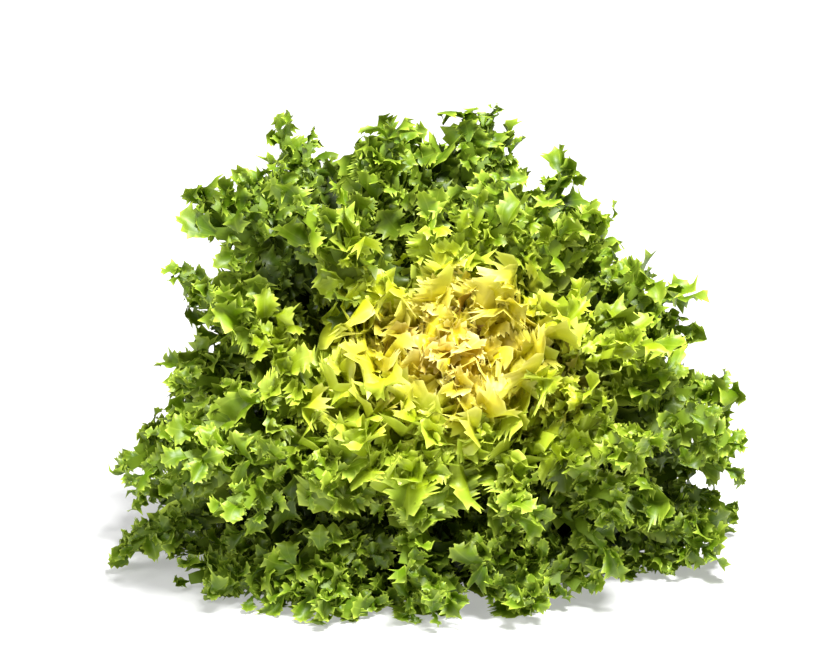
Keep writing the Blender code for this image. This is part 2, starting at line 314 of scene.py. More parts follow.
# %% Lay out a flat lobe
LAST_STATION = 0.93  # share of the lobe's length, beyond which two teeth stand
STALK_WIDTH = 0.24  # share of the blade's width
END_WIDTH = 0.6
OPENS = (0.0, 0.5)  # shares of the length between which the stalk opens to the blade
CLOSES = (0.7, 1.0)  # and between which the blade narrows to its end
WIDTH_VARIES = (0.84, 1.12)
HALFWAY_OUT = 0.45  # share of the width
NOTCH_ODDS = 0.22
NOTCHED = 0.58  # share of the width that is left at a notch
BAY_DEPTH = (0.6, 1.1)  # of a tooth
BAY_STRAYS = 0.01
TOOTH_VARIES = (0.92, 1.08)
TOOTH_LEANS = 0.66  # how far on towards the next bay a tooth points
END_TOOTH_OUT = (0.18, 0.3)  # share of the half width
END_TOOTH_REACH = (1.02, 1.08)  # share of the lobe's length


def flat_half(draw, steps, half_width):
    """Points of one half: the line halfway out, the bays, the teeth and the end tooth, each as (x, y)."""
    halfway, bays, teeth = [], [], []
    tooth = 1 / steps
    for i in range(steps + 1):
        share = i / steps
        width = half_width * draw.uniform(*WIDTH_VARIES)
        opening = between((STALK_WIDTH, 1.0), smooth(share, *OPENS))
        width *= opening * between((1.0, END_WIDTH), smooth(share, *CLOSES))
        if 1 < i < steps and draw.random() < NOTCH_ODDS:
            bay = NOTCHED
        else:
            bay = 1 - tooth * draw.uniform(*BAY_DEPTH)
        halfway.append((width * HALFWAY_OUT, share * LAST_STATION))
        bays.append((width * bay, share * LAST_STATION + draw.uniform(-BAY_STRAYS, BAY_STRAYS)))
        reach = width * (1 + tooth) * draw.uniform(*TOOTH_VARIES)
        teeth.append((reach, (share + TOOTH_LEANS * tooth) * LAST_STATION))
    end_tooth = (half_width * draw.uniform(*END_TOOTH_OUT), draw.uniform(*END_TOOTH_REACH))
    return halfway + bays + teeth[:-1] + [end_tooth]


print("points in one half of a lobe:", len(flat_half(random.Random(0), 6, 0.4)))

# %% [markdown]
# ## Faces of a lobe
# The faces are worked out once from the number of stations, and the left half has the same faces as the
# right one, turned round so that all of them point the same way.


# %% List a lobe's faces
def lobe_faces(steps):
    """Faces over the middle line, the right half, the left half and the last notch, in that order."""
    count = steps + 1
    faces = []
    for half in (0, 1):
        first = count + half * (3 * count)
        halfway, bays, teeth = first, first + count, first + 2 * count
        end_tooth, notch = teeth + steps, count + 6 * count
        mine = []
        for i in range(steps):
            mine.append((i, halfway + i, halfway + i + 1, i + 1))
            mine.append((halfway + i, bays + i, teeth + i, halfway + i + 1))
            mine.append((halfway + i + 1, teeth + i, bays + i + 1))
        mine.append((halfway + steps, bays + steps, end_tooth))
        mine.append((steps, halfway + steps, end_tooth, notch))
        faces += [face[::-1] for face in mine] if half else mine
    return faces


print("faces for 6 stations:", len(lobe_faces(6)))

# %% [markdown]
# ## Curling a lobe
# A real lobe is never flat. It is folded along its middle, its two edges wave, because they grew longer
# than the middle, and the whole lobe twists and bends. Each of these is one line of arithmetic on the flat
# points. The bend rolls the lobe round a circle, so its length stays the same.

# %% Curl the flat points
FOLDS = (-0.5, 1.3)  # rise for each unit outwards
WAVES = (0.11, 0.23)  # height of the ruffles at the edge, for a lobe one unit long
WAVES_AT_EDGE = 1.7  # power: above 1, the ruffles grow mostly towards the edge
BEND_SIZES = (0.5, 2.4)  # radians over the lobe's length
TWIST = 1.5  # radians over the lobe's length, either way


def curled(flat, draw, half_width, curl, ruffling, bends):
    """The flat points folded, ruffled, twisted and bent."""
    fold = draw.uniform(*FOLDS) * curl
    ruffles = draw.uniform(*ruffling) * math.tau
    phases = (draw.uniform(0, math.tau), draw.uniform(0, math.tau))
    wave = draw.uniform(*WAVES) * curl
    bend = draw.choice(bends) * draw.uniform(*BEND_SIZES) * curl
    twist = draw.uniform(-TWIST, TWIST) * curl
    shaped = []
    for x, y in flat:
        out = abs(x) / half_width
        z = fold * abs(x) + wave * out**WAVES_AT_EDGE * math.sin(ruffles * y + phases[x > 0])
        across, along = math.cos(twist * y), math.sin(twist * y)
        x, z = x * across - z * along, x * along + z * across
        turned = bend * y
        arc_y = math.sin(turned) / bend - z * math.sin(turned)
        arc_z = (1 - math.cos(turned)) / bend + z * math.cos(turned)
        shaped.append((x, arc_y, arc_z))
    return shaped


print("a flat point curled:", curled([(0.3, 0.8)], random.Random(0), 0.4, 1.0, (1.3, 2.6), (1,)))

# %% [markdown]
# ## The lobe as a mesh
# The material will need to know where on a lobe it is. So the mesh keeps two attributes: rim is 1 on the
# teeth's tips and 0 in the middle, and flat_lobe is where the point lay before the lobe was curled.

# %% Make a lobe's mesh
BAY_RIM = 0.45  # how much of the edge's painted highlight the bays have
END_RIM = 0.5
END_NOTCH = (0.95, 1.0)  # share of the lobe's length


def lobe_mesh(name, draw, steps, half_width, curl, ruffling, bends):
    """A lobe one unit long, from its stalk at the origin along +Y, with its upper side towards +Z."""
    right, left = flat_half(draw, steps, half_width), flat_half(draw, steps, half_width)
    flat = [(0.0, i / steps * LAST_STATION) for i in range(steps + 1)] + right
    flat += [(-x, y) for x, y in left] + [(0.0, draw.uniform(*END_NOTCH))]
    mesh = bpy.data.meshes.new(name)
    shaped = curled(flat, draw, half_width, curl, ruffling, bends)
    mesh.from_pydata(shaped, [], lobe_faces(steps))
    count = steps + 1
    # rim masks the painted highlight: 1 on the teeth's tips, less in the bays and at the end
    half_rims = [0.0] * count + [BAY_RIM] * count + [1.0] * count
    rims = [0.0] * count + half_rims + half_rims + [END_RIM]
    mesh.attributes.new("rim", "FLOAT", "POINT").data.foreach_set("value", rims)
    flat_places = [value for x, y in flat for value in (x, y, 0.0)]
    mesh.attributes.new("flat_lobe", "FLOAT_VECTOR", "POINT").data.foreach_set("vector", flat_places)
    return mesh


trial = lobe_mesh("trial_lobe", random.Random(0), 6, 0.4, 1.0, (1.3, 2.6), (1,))
print("attributes of a lobe:", [attribute.name for attribute in trial.attributes])
bpy.data.meshes.remove(trial)

# %% [markdown]
# ## Trays of lobes
# Two dozen different lobes are enough, because each one is turned, tilted and sized at random where it
# grows. The heart's lobes are broader, as those leaves stay folded together and spread only at the top.
# Each leaf also ends in one broad blade with a fine fringe, which mostly bends outwards like a petal.


# %% Fill the trays
def lobe_tray(name, count, seed, steps, half_width, curl, ruffling, bends):
    tray = bpy.data.collections.new(name)
    draw = random.Random(seed)
    for i in range(count):
        width = draw.uniform(*half_width)
        mesh = lobe_mesh(f"{name}_{i:02d}", draw, draw.choice(steps), width, curl, ruffling, bends)
        tray.objects.link(bpy.data.objects.new(mesh.name, mesh))
    return tray


INWARDS_MOSTLY = (-1, 1, 1)
OUTWARDS_MOSTLY = (1, -1, -1)
leaf_curls = {"curl": 1.0, "ruffling": (1.3, 2.6), "bends": INWARDS_MOSTLY}
heart_curls = {"curl": 1.2, "ruffling": (1.6, 3.1), "bends": INWARDS_MOSTLY}
tip_curls = {"curl": 0.62, "ruffling": (2.4, 4.2), "bends": OUTWARDS_MOSTLY}
leaf_lobes = lobe_tray("leaf_lobes", 24, seed=3, steps=(6, 7), half_width=(0.26, 0.46), **leaf_curls)
heart_lobes = lobe_tray("heart_lobes", 16, seed=4, steps=(9, 10), half_width=(0.40, 0.60), **heart_curls)
tip_lobes = lobe_tray("tip_lobes", 12, seed=6, steps=(15, 17), half_width=(0.42, 0.62), **tip_curls)

# %% [markdown]
# ## How far a point is from the pale heart
# Chlorophyll, the green of leaves, grows only where light reaches. So the colour follows the distance from
# the middle of the head. It could be painted leaf by leaf, but a distance that the shader works out itself
# changes smoothly over all the pieces. It is measured from a line that goes up from the stem to the middle
# of the heart, and the part of it that is across the line's height counts for more, because the real heart
# is wider than it is high.

# %% Measure from the line to the heart
PALE_RISE = math.radians(41)  # how steeply the line rises
PALE_LINE = Vector((0.12, -math.cos(PALE_RISE), math.sin(PALE_RISE))).normalized()
PALE_ACROSS = PALE_LINE.cross(Vector((0, 0, 1))).normalized()
PALE_UP = PALE_ACROSS.cross(PALE_LINE)
PALE_FLATNESS = 1.42  # width of the heart over its height


def off_stem(tree):
    """The shader's place, and its way from the stem's centre."""
    place = add_node(tree, "ShaderNodeTexCoord").outputs["Object"]
    off = add_node(tree, "ShaderNodeVectorMath", {0: place, 1: STEM_CENTRE}, operation="SUBTRACT")
    return place, off.outputs[0]


def part_along(tree, off, direction):
    dot = add_node(tree, "ShaderNodeVectorMath", {0: off, 1: direction}, operation="DOT_PRODUCT")
    return dot.outputs["Value"]


def distance_from_heart(tree):
    """The shader's distance from the line, in metres, and its place."""
    place, off = off_stem(tree)
    parts = {0: part_along(tree, off, PALE_ACROSS), 1: part_along(tree, off, PALE_UP * PALE_FLATNESS)}
    both = add_node(tree, "ShaderNodeCombineXYZ", parts).outputs[0]
    return add_node(tree, "ShaderNodeVectorMath", {0: both}, operation="LENGTH").outputs["Value"], place


print("the line to the heart points to:", tuple(round(part, 3) for part in PALE_LINE))

# %% [markdown]
# ## Ramps of colour
# A colour ramp turns that distance to a colour. Three of them colour the blades: one for the blade itself,
# one for the painted highlight on its edge, and one for painted shade, multiplied on deep inside the head,
# where light has gone through other leaves first: amber in the heart and dark green further out.

# %% Set the stops of the ramps
COLOUR_REACH = 0.16  # metres from the line to the end of each ramp
BLADE_STOPS = (
    (0.0, "#d8bc14"),
    (0.22, "#d2c41a"),
    (0.33, "#c2c81e"),
    (0.45, "#a4b814"),
    (0.68, "#6f8d06"),
    (1.0, "#5a7a03"),
)
# The rim ramp holds the colours of the painted highlight on teeth and lobe ends.
RIM_HIGHLIGHT_STOPS = ((0.0, "#fff4a2"), (0.24, "#f4ec7c"), (0.40, "#d6e45c"), (1.0, "#bcd248"))
# The shade ramp is painted shade for deep inside the head.
SHADE_STOPS = ((0.0, "#9a7420"), (0.30, "#8c7a26"), (0.46, "#50621a"), (1.0, "#34480e"))


def ramp_of(tree, value, stops):
    node = add_node(tree, "ShaderNodeValToRGB", {0: value})
    node.color_ramp.interpolation = "EASE"
    for i, (position, colour) in enumerate(stops):
        stop = node.color_ramp.elements[i] if i < 2 else node.color_ramp.elements.new(position)
        stop.position = position
        stop.color = linear(colour)
    return node.outputs["Color"]


print("stops:", len(BLADE_STOPS), len(RIM_HIGHLIGHT_STOPS), len(SHADE_STOPS))

# %% [markdown]
# ## Short names for a shader's steps
# Most of a shader is plain arithmetic, an attribute that is read, or two colours that are mixed. These
# three helpers keep such a step on one line.


# %% Name the shader's steps
def sums(tree, operation, *values, **settings):
    settings["operation"] = operation
    return add_node(tree, "ShaderNodeMath", dict(enumerate(values)), **settings).outputs[0]


def attribute_of(tree, name, output="Fac"):
    return add_node(tree, "ShaderNodeAttribute", attribute_name=name).outputs[output]


def eased(tree, value, start, end, first, last):
    """A value that goes smoothly from first to last while the given one goes from start to end."""
    span = {"Value": value, "From Min": start, "From Max": end, "To Min": first, "To Max": last}
    return add_node(tree, "ShaderNodeMapRange", span, interpolation_type="SMOOTHSTEP").outputs[0]


def mixed_colour(tree, share, first, second, blend_type="MIX"):
    inputs = {0: share, 6: first, 7: second}
    return add_node(tree, "ShaderNodeMix", inputs, data_type="RGBA", blend_type=blend_type).outputs[2]


print("shader helpers:", sums.__name__, attribute_of.__name__, eased.__name__, mixed_colour.__name__)

# %% [markdown]
# ## Veins of a lobe
# Pale veins fan out from a lobe's stalk. A point's angle round the stalk, in the flat lobe, is turned to a
# wave, and the vein is where the wave crosses nought. The veins follow the lobe however it is curled.

# %% Draw a lobe's veins
LOBE_VEINS = 9.0  # veins over half a turn round the stalk
VEIN_WIDTH = 0.35  # share of the wave
VEINS_MEET = 0.12  # share of the lobe's length by which the veins' meeting point lies behind its base


def lobe_veins(tree):
    """One on the veins, falling to nought beside them."""
    parts = add_node(tree, "ShaderNodeSeparateXYZ", {0: attribute_of(tree, "flat_lobe", "Vector")}).outputs
    angle = sums(tree, "ARCTAN2", parts["X"], sums(tree, "ADD", parts["Y"], VEINS_MEET))
    wave = sums(tree, "SINE", sums(tree, "MULTIPLY", angle, LOBE_VEINS))
    return eased(tree, sums(tree, "ABSOLUTE", wave), 0.0, VEIN_WIDTH, 1.0, 0.0)


print("degrees from one vein to the next:", round(180 / LOBE_VEINS))

# %% [markdown]
# ## Painted highlight on the edge, and pale veins
# The teeth and the outer end of each lobe get a painted cream highlight, where curled edges catch the light.
# This adds up what the rim, the pale veins and the end give, as one share from nought to one.

# %% Work out the painted highlight and the veins
RIM_HIGHLIGHT = 0.92
RIM_NARROWS = 1.8  # power: above 1, the painted highlight keeps nearer to the teeth's tips
VEIN_PALE = 0.14
END_HIGHLIGHT = 0.25
END_STARTS = 0.45  # share of the lobe's length


def painted_highlight_and_veins(tree):
    narrowed = sums(tree, "POWER", attribute_of(tree, "rim"), RIM_NARROWS)
    from_rim = sums(tree, "MULTIPLY", narrowed, RIM_HIGHLIGHT)
    with_veins = sums(tree, "MULTIPLY_ADD", lobe_veins(tree), VEIN_PALE, from_rim)
    flat = attribute_of(tree, "flat_lobe", "Vector")
    ahead = add_node(tree, "ShaderNodeSeparateXYZ", {0: flat}).outputs["Y"]
    from_end = eased(tree, ahead, END_STARTS, 1.0, 0.0, END_HIGHLIGHT)
    return sums(tree, "ADD", with_veins, from_end, use_clamp=True)


print("paleness of a tooth's tip at the lobe's end:", min(RIM_HIGHLIGHT + END_HIGHLIGHT, 1.0))

# %% [markdown]
# ## The blade's colour
# The colour is built up in layers: the green that the distance from the heart gives, a fine mottle, the
# painted highlight of the edge, and last the painted shade of deep places. Each leaf is a little lighter or
# darker than the next. The attribute share, which runs from 0 at a leaf's base to 1 at its end, tells how
# deep in the head a point is.

# %% Mix the blade's colour
MOTTLE_SIZE = 0.006  # metres: cells of the leaf are finer, but this is what shows at this distance
MOTTLE_TINT = "#46580c"
MOTTLE_SHOWS = 0.35
SHADE_ENDS = (0.55, 1.0)  # shares of a leaf between which the painted shade deep inside the head thins out
TONE_VARIES = 0.24  # share of the ramp between the lightest and the darkest leaf


def blade_colour(tree, mottle):
    """The blade's colour: green by distance, mottled, with a painted highlight at its edge and painted shade
    deep inside.
    """
    distance, place = distance_from_heart(tree)
    share = sums(tree, "DIVIDE", distance, COLOUR_REACH)
    shifted = sums(tree, "MULTIPLY_ADD", attribute_of(tree, "tone"), TONE_VARIES, share)
    level = sums(tree, "SUBTRACT", shifted, TONE_VARIES / 2)
    tree.links.new(place, mottle.inputs["Vector"])
    green = ramp_of(tree, level, BLADE_STOPS)
    dark = mixed_colour(tree, mottle.outputs["Fac"], green, linear(MOTTLE_TINT), "MULTIPLY")
    mottled = mixed_colour(tree, MOTTLE_SHOWS, green, dark)
    # Painted highlight: the teeth and the lobe's end, with the real pale veins, mix towards the pale ramp.
    lit = mixed_colour(tree, painted_highlight_and_veins(tree), mottled, ramp_of(tree, level, RIM_HIGHLIGHT_STOPS))
    # Painted shade: nearer a leaf's base, deeper in the head, the colour is multiplied by the dark ramp.
    painted_shade = eased(tree, attribute_of(tree, "share"), *SHADE_ENDS, 1.0, 0.0)
    return mixed_colour(tree, painted_shade, lit, ramp_of(tree, level, SHADE_STOPS), "MULTIPLY")


print("mottle every", MOTTLE_SIZE * 1000, "mm")

# %% [markdown]
# ## The leaf blade's material
# The blade is living leaf: thin, waxy and full of water. The wax gives it a broad soft gloss, so its
# roughness is about a half. Light also comes through it, so the Principled shader is mixed with some
# Translucent. The same noise that mottles the colour makes the skin a little uneven.

# %% Make the leaf blade's material
BLADE_ROUGHNESS = 0.46
LEAF_IOR = 1.42
LIGHT_THROUGH = 0.2


def leaf_blade():
    material = bpy.data.materials.new("endive_leaf_blade")
    material.use_nodes = True
    tree = material.node_tree
    shader = tree.nodes["Principled BSDF"]
    shader.inputs["Roughness"].default_value = BLADE_ROUGHNESS
    shader.inputs["IOR"].default_value = LEAF_IOR
    mottle = add_node(tree, "ShaderNodeTexNoise", {"Scale": 1 / MOTTLE_SIZE, "Detail": 3.0})
    colour = blade_colour(tree, mottle)
    uneven = {"Height": mottle.outputs["Fac"], "Strength": 0.25, "Distance": 0.001}
    bump = add_node(tree, "ShaderNodeBump", uneven).outputs[0]
    tree.links.new(colour, shader.inputs["Base Color"])
    tree.links.new(bump, shader.inputs["Normal"])
    through = add_node(tree, "ShaderNodeBsdfTranslucent", {"Color": colour, "Normal": bump}).outputs[0]
    both = add_node(tree, "ShaderNodeMixShader", {0: LIGHT_THROUGH, 1: shader.outputs[0], 2: through})
    tree.links.new(both.outputs[0], tree.nodes["Material Output"].inputs["Surface"])
    return material


blade_material = leaf_blade()
print(blade_material.name, "has", len(blade_material.node_tree.nodes), "nodes")

# %% [markdown]
# ## The rib's material
# A rib is juicy, nearly white flesh under a smooth skin. It is glossier than the blade, and light spreads a
# few millimetres inside it, which the subsurface inputs give. Far from the heart it is greener. A fine
# noise stands for the shallow grooves and specks of its skin.

# %% Make the rib's material
RIB_STOPS = ((0.0, "#f2eab0"), (0.40, "#d5d884"), (0.62, "#93a844"), (1.0, "#6d8c26"))
GROOVE_SIZE = 0.0015  # metres from one groove or speck to the next
GROOVE_TINT = "#c8cc90"
GROOVE_SHOWS = 0.3
RIB_ROUGHNESS = 0.38


def leaf_rib():
    material = bpy.data.materials.new("endive_leaf_rib")
    material.use_nodes = True
    tree = material.node_tree
    shader = tree.nodes["Principled BSDF"]
    distance, place = distance_from_heart(tree)
    grooves = {"Vector": place, "Scale": 1 / GROOVE_SIZE, "Detail": 2.0}
    groove = add_node(tree, "ShaderNodeTexNoise", grooves).outputs["Fac"]
    plain = ramp_of(tree, sums(tree, "DIVIDE", distance, COLOUR_REACH), RIB_STOPS)
    grooved = mixed_colour(tree, groove, plain, linear(GROOVE_TINT), "MULTIPLY")
    tree.links.new(mixed_colour(tree, GROOVE_SHOWS, plain, grooved), shader.inputs["Base Color"])
    bump = add_node(tree, "ShaderNodeBump", {"Height": groove, "Strength": 0.2, "Distance": 0.0004})
    tree.links.new(bump.outputs[0], shader.inputs["Normal"])
    shader.inputs["Roughness"].default_value = RIB_ROUGHNESS
    shader.inputs["IOR"].default_value = LEAF_IOR
    shader.inputs["Subsurface Weight"].default_value = 0.15
    shader.inputs["Subsurface Radius"].default_value = (0.004, 0.004, 0.002)
    shader.inputs["Subsurface Scale"].default_value = 1.0
    return material


rib_material = leaf_rib()
print(rib_material.name, "has", len(rib_material.node_tree.nodes), "nodes")

# %% [markdown]
# ## Growing lobes along the ribs
# This is a job for Geometry Nodes, because one rule makes thousands of lobes. The ribs go in as lines
# with a few attributes. The tree spaces points along them, doubles each point for the leaf's two sides,
# and turns each away from the rib, tilted at random. A side rib grows on each, and the same rule then
# sets lobes along the side ribs. These are the sizes that the tree is given by name.

# %% Name the tree's inputs
INPUTS = (
    ("Ribs", "NodeSocketGeometry", None),
    ("Lobe tray", "NodeSocketCollection", None),
    ("Side rib spacing", "NodeSocketFloat", 0.0112),
    ("First side rib", "NodeSocketFloat", 0.34),
    ("Side rib length", "NodeSocketFloat", 0.022),
    ("Side rib tilt", "NodeSocketFloat", 0.5),
    ("Lobe spacing", "NodeSocketFloat", 0.0068),
    ("Lobe length", "NodeSocketFloat", 0.0150),
    ("Lobe tilt", "NodeSocketFloat", 1.1),
    ("Tip tray", "NodeSocketCollection", None),
    ("Tip length", "NodeSocketFloat", 0.021),
    ("Tip tilt", "NodeSocketFloat", 0.5),
    ("Rib radius", "NodeSocketFloat", 0.0021),
    ("Side blade half width", "NodeSocketFloat", 0.0032),
    ("Blade half width", "NodeSocketFloat", 0.009),
    ("Seed", "NodeSocketInt", 1),
    ("Blade", "NodeSocketMaterial", None),
    ("Rib", "NodeSocketMaterial", None),
)
print("inputs of the tree:", len(INPUTS))

# %% [markdown]
# ## Short names for the tree's steps
# A node tree is easier to read when its small steps have names. This class keeps the tree that is being
# built and gives a short name to each kind of step that comes up again.


# %% Name the tree's steps
class TreeBuilder:
    def __init__(self, tree):
        self.tree = tree

    def step(self, kind, inputs=None, output=0, **settings):
        return add_node(self.tree, kind, inputs, **settings).outputs[output]

    def maths(self, operation, *values):
        return self.step("ShaderNodeMath", dict(enumerate(values)), operation=operation)

    def vectors(self, operation, *values):
        output = 1 if operation == "DOT_PRODUCT" else 0
        return self.step("ShaderNodeVectorMath", dict(enumerate(values)), output, operation=operation)

    def scaled(self, vector, scale):
        return self.step("ShaderNodeVectorMath", {0: vector, "Scale": scale}, operation="SCALE")

    def less(self, value, limit):
        settings = {"data_type": "FLOAT", "operation": "LESS_THAN"}
        return self.step("FunctionNodeCompare", {0: value, 1: limit}, **settings)

    def attribute(self, name, data_type="FLOAT"):
        return self.step("GeometryNodeInputNamedAttribute", {0: name}, data_type=data_type)

    def stored(self, geometry, name, value, data_type="FLOAT"):
        settings = {"data_type": data_type, "domain": "POINT"}
        return self.step("GeometryNodeStoreNamedAttribute", {0: geometry, 2: name, 3: value}, **settings)

    def drawn(self, low, high, seed, turn):
        seeded = self.maths("ADD", seed, float(turn))
        return self.step("FunctionNodeRandomValue", {2: low, 3: high, "Seed": seeded}, 1, data_type="FLOAT")

    def spaced(self, curve, length):
        return self.step("GeometryNodeResampleCurve", {"Curve": curve, "Length": length}, mode="LENGTH")


print("steps with a name:", [name for name in vars(TreeBuilder) if not name.startswith("_")])

# %% [markdown]
# ## Disorder
# Nothing on a curly leaf lies quite as a rule would lay it. So whatever grows is tilted by a random angle
# about each of its own three axes, and its shape is picked at random from a tray. The seed is fixed and
# each draw adds its own number to it, so the leaves come out the same each time and no two draws agree.

# %% Tilt at random, and pick from a tray
SPUN = 0.6  # share of the tilt that the turn about the upper side gets
LARGEST_PICK = 999  # far more than a tray holds, as counting starts again at its end


def tilted(b, laid, tilt, seed, turn):
    """A rotation tilted at random about its own three axes."""
    least = b.maths("MULTIPLY", tilt, -1.0)
    turns = [b.drawn(least, tilt, seed, turn + k) for k in range(3)]
    spin = b.maths("MULTIPLY", turns[2], SPUN)
    euler = b.step("ShaderNodeCombineXYZ", {0: turns[0], 1: turns[1], 2: spin})
    by = b.step("FunctionNodeEulerToRotation", {0: euler})
    return b.step("FunctionNodeRotateRotation", {0: laid, 1: by}, rotation_space="LOCAL")


def from_tray(b, tray, points, rotation, size, seed, turn):
    """A shape picked from the tray on each point, as a real mesh."""
    seeded = b.maths("ADD", seed, float(turn))
    numbers = {4: 0, 5: LARGEST_PICK, "Seed": seeded}
    pick = b.step("FunctionNodeRandomValue", numbers, 2, data_type="INT")
    shapes = b.step("GeometryNodeCollectionInfo", {0: tray, 1: True, 2: True})
    placed = {"Points": points, "Instance": shapes, "Pick Instance": True, "Instance Index": pick}
    placed |= {"Rotation": rotation, "Scale": size}
    return b.step("GeometryNodeRealizeInstances", {0: b.step("GeometryNodeInstanceOnPoints", placed)})


print("steps for disorder:", tilted.__name__, from_tray.__name__)

# %% [markdown]
# ## The rule of growth
# One rule serves side ribs and lobes alike. It takes points on a rib and gives them doubled, one for each
# side. What grows there stands out from the rib at 60 degrees. Near the rib's end that angle falls to
# nought, so that the last ones point forwards and make the tip.

# %% Turn each growth away from its rib
OUT_ANGLE = math.radians(60)
TURNS_LATE = 4.0  # power: above 1, the growth turns forwards mostly near the rib's end
FACING = {"primary_axis": "Z", "secondary_axis": "Y"}  # upper side along Z, heading along Y


def growth(b, points, share, along, upper, tilt, seed, turn):
    """The points doubled, and the rotation of what grows on each."""
    doubled = add_node(b.tree, "GeometryNodeDuplicateElements", {0: points, 2: 2}, domain="POINT")
    side = b.maths("MULTIPLY_ADD", doubled.outputs[1], 2.0, -1.0)
    opened = b.maths("SUBTRACT", 1.0, b.maths("POWER", share, TURNS_LATE))
    angle = b.maths("MULTIPLY", OUT_ANGLE, opened)
    across = b.vectors("CROSS_PRODUCT", along, upper)
    sideways = b.scaled(across, b.maths("MULTIPLY", b.maths("SINE", angle), side))
    heading = b.vectors("ADD", sideways, b.scaled(along, b.maths("COSINE", angle)))
    laid = b.step("FunctionNodeAxesToRotation", {0: upper, 1: heading}, **FACING)
    return doubled.outputs[0], tilted(b, laid, tilt, seed, turn)


print("growth stands out at", round(math.degrees(OUT_ANGLE)), "degrees")

# %% [markdown]
# ## Side ribs
# A side rib is a short arch. It could be a straight line, but the arch lifts the lobes off the leaf, as in
# the real head. Its length follows the width of the leaf there, and the base of each leaf stays bare.

# %% Grow side ribs on the ribs
SIDE_RIB_ARCH = {"Resolution": 6, "Start": (0, 0, 0), "Middle": (0, 0.5, 0.16), "End": (0, 1, 0.05)}
SIDE_RIB_SIZES = (0.75, 1.15)


def side_ribs(b, given, curves):
    spaced = b.spaced(curves, given["Side rib spacing"])
    points = b.step("GeometryNodeCurveToPoints", {0: spaced}, mode="EVALUATED")
    share = b.attribute("share")
    bare = b.less(share, given["First side rib"])
    kept = b.step("GeometryNodeDeleteGeometry", {0: points, 1: bare}, domain="POINT")
    along, upper = b.attribute("along", "FLOAT_VECTOR"), b.attribute("upper", "FLOAT_VECTOR")
    grown, turned = growth(b, kept, share, along, upper, given["Side rib tilt"], given["Seed"], 0)
    length = b.maths("MULTIPLY", given["Side rib length"], b.attribute("width"))
    size = b.maths("MULTIPLY", length, b.drawn(*SIDE_RIB_SIZES, given["Seed"], 3))
    arch = b.step("GeometryNodeCurveQuadraticBezier", SIDE_RIB_ARCH)
    placed = {"Points": b.stored(grown, "turn", turned, "QUATERNION"), "Instance": arch, "Scale": size}
    placed["Rotation"] = b.attribute("turn", "QUATERNION")
    return b.step("GeometryNodeRealizeInstances", {0: b.step("GeometryNodeInstanceOnPoints", placed)})


print("points on a side rib's arch:", SIDE_RIB_ARCH["Resolution"] + 1)

# %% [markdown]
# ## Lobes on the side ribs
# Lobes grow a few millimetres apart, larger towards the end of the side rib. A random number raised to a
# power makes most of them small and a few large, as on the real leaf. Each also gets a tone of its own,
# which the material reads.

# %% Grow lobes on the side ribs
BARE_STALK = 0.15  # share of a side rib without lobes
SMALL_MOSTLY = 2.2  # the power: 1 would make all sizes equally common
SMALLEST, LARGER_BY = 0.72, 0.65  # of the lobe length, and how much more the largest have
AT_START, SWELLS_BY = 0.75, 0.35  # the same from the side rib's start to its end
LEAF_TONE = 0.4  # how much of a lobe's tone is its leaf's
OWN_TONE = 0.6  # and how much its own


def lobes_on(b, given, side_curves):
    counted = add_node(b.tree, "GeometryNodeSplineParameter").outputs["Factor"]
    spaced = b.spaced(b.stored(side_curves, "side_share", counted), given["Lobe spacing"])
    to_points = add_node(b.tree, "GeometryNodeCurveToPoints", {0: spaced}, mode="EVALUATED")
    share = b.attribute("side_share")
    bare = {0: to_points.outputs[0], 1: b.less(share, BARE_STALK)}
    kept = b.step("GeometryNodeDeleteGeometry", bare, domain="POINT")
    up = b.step("FunctionNodeRotateVector", {0: (0, 0, 1), 1: b.attribute("turn", "QUATERNION")})
    grown, turned = growth(b, kept, share, to_points.outputs[1], up, given["Lobe tilt"], given["Seed"], 5)
    swelling = b.maths("MULTIPLY_ADD", share, SWELLS_BY, AT_START)
    varied = b.maths("POWER", b.drawn(0.0, 1.0, given["Seed"], 9), SMALL_MOSTLY)
    largest = b.maths("MULTIPLY", given["Lobe length"], b.attribute("coarseness"))
    swollen = b.maths("MULTIPLY", largest, swelling)
    size = b.maths("MULTIPLY", swollen, b.maths("MULTIPLY_ADD", varied, LARGER_BY, SMALLEST))
    own_tone = b.drawn(0.0, OWN_TONE, given["Seed"], 10)
    tone = b.maths("MULTIPLY_ADD", b.attribute("leaf_tone"), LEAF_TONE, own_tone)
    toned = b.stored(grown, "tone", tone)
    real = from_tray(b, given["Lobe tray"], toned, turned, size, given["Seed"], 11)
    return b.step("GeometryNodeSetMaterial", {0: real, 2: given["Blade"]})


print("side ribs stay bare for", BARE_STALK, "of their length")

# %% [markdown]
# ## The blade on a leaf's end
# The end of each leaf is one broad blade with a fine fringe. Here and there one of them lies flat on the
# outside of the head, and in the heart they are most of what is seen. The last point of each rib is
# marked, all the others are dropped, and one broad lobe is set on what is left.

# %% Grow a broad blade on each leaf's end
TIP_SIZES = (0.7, 1.15)


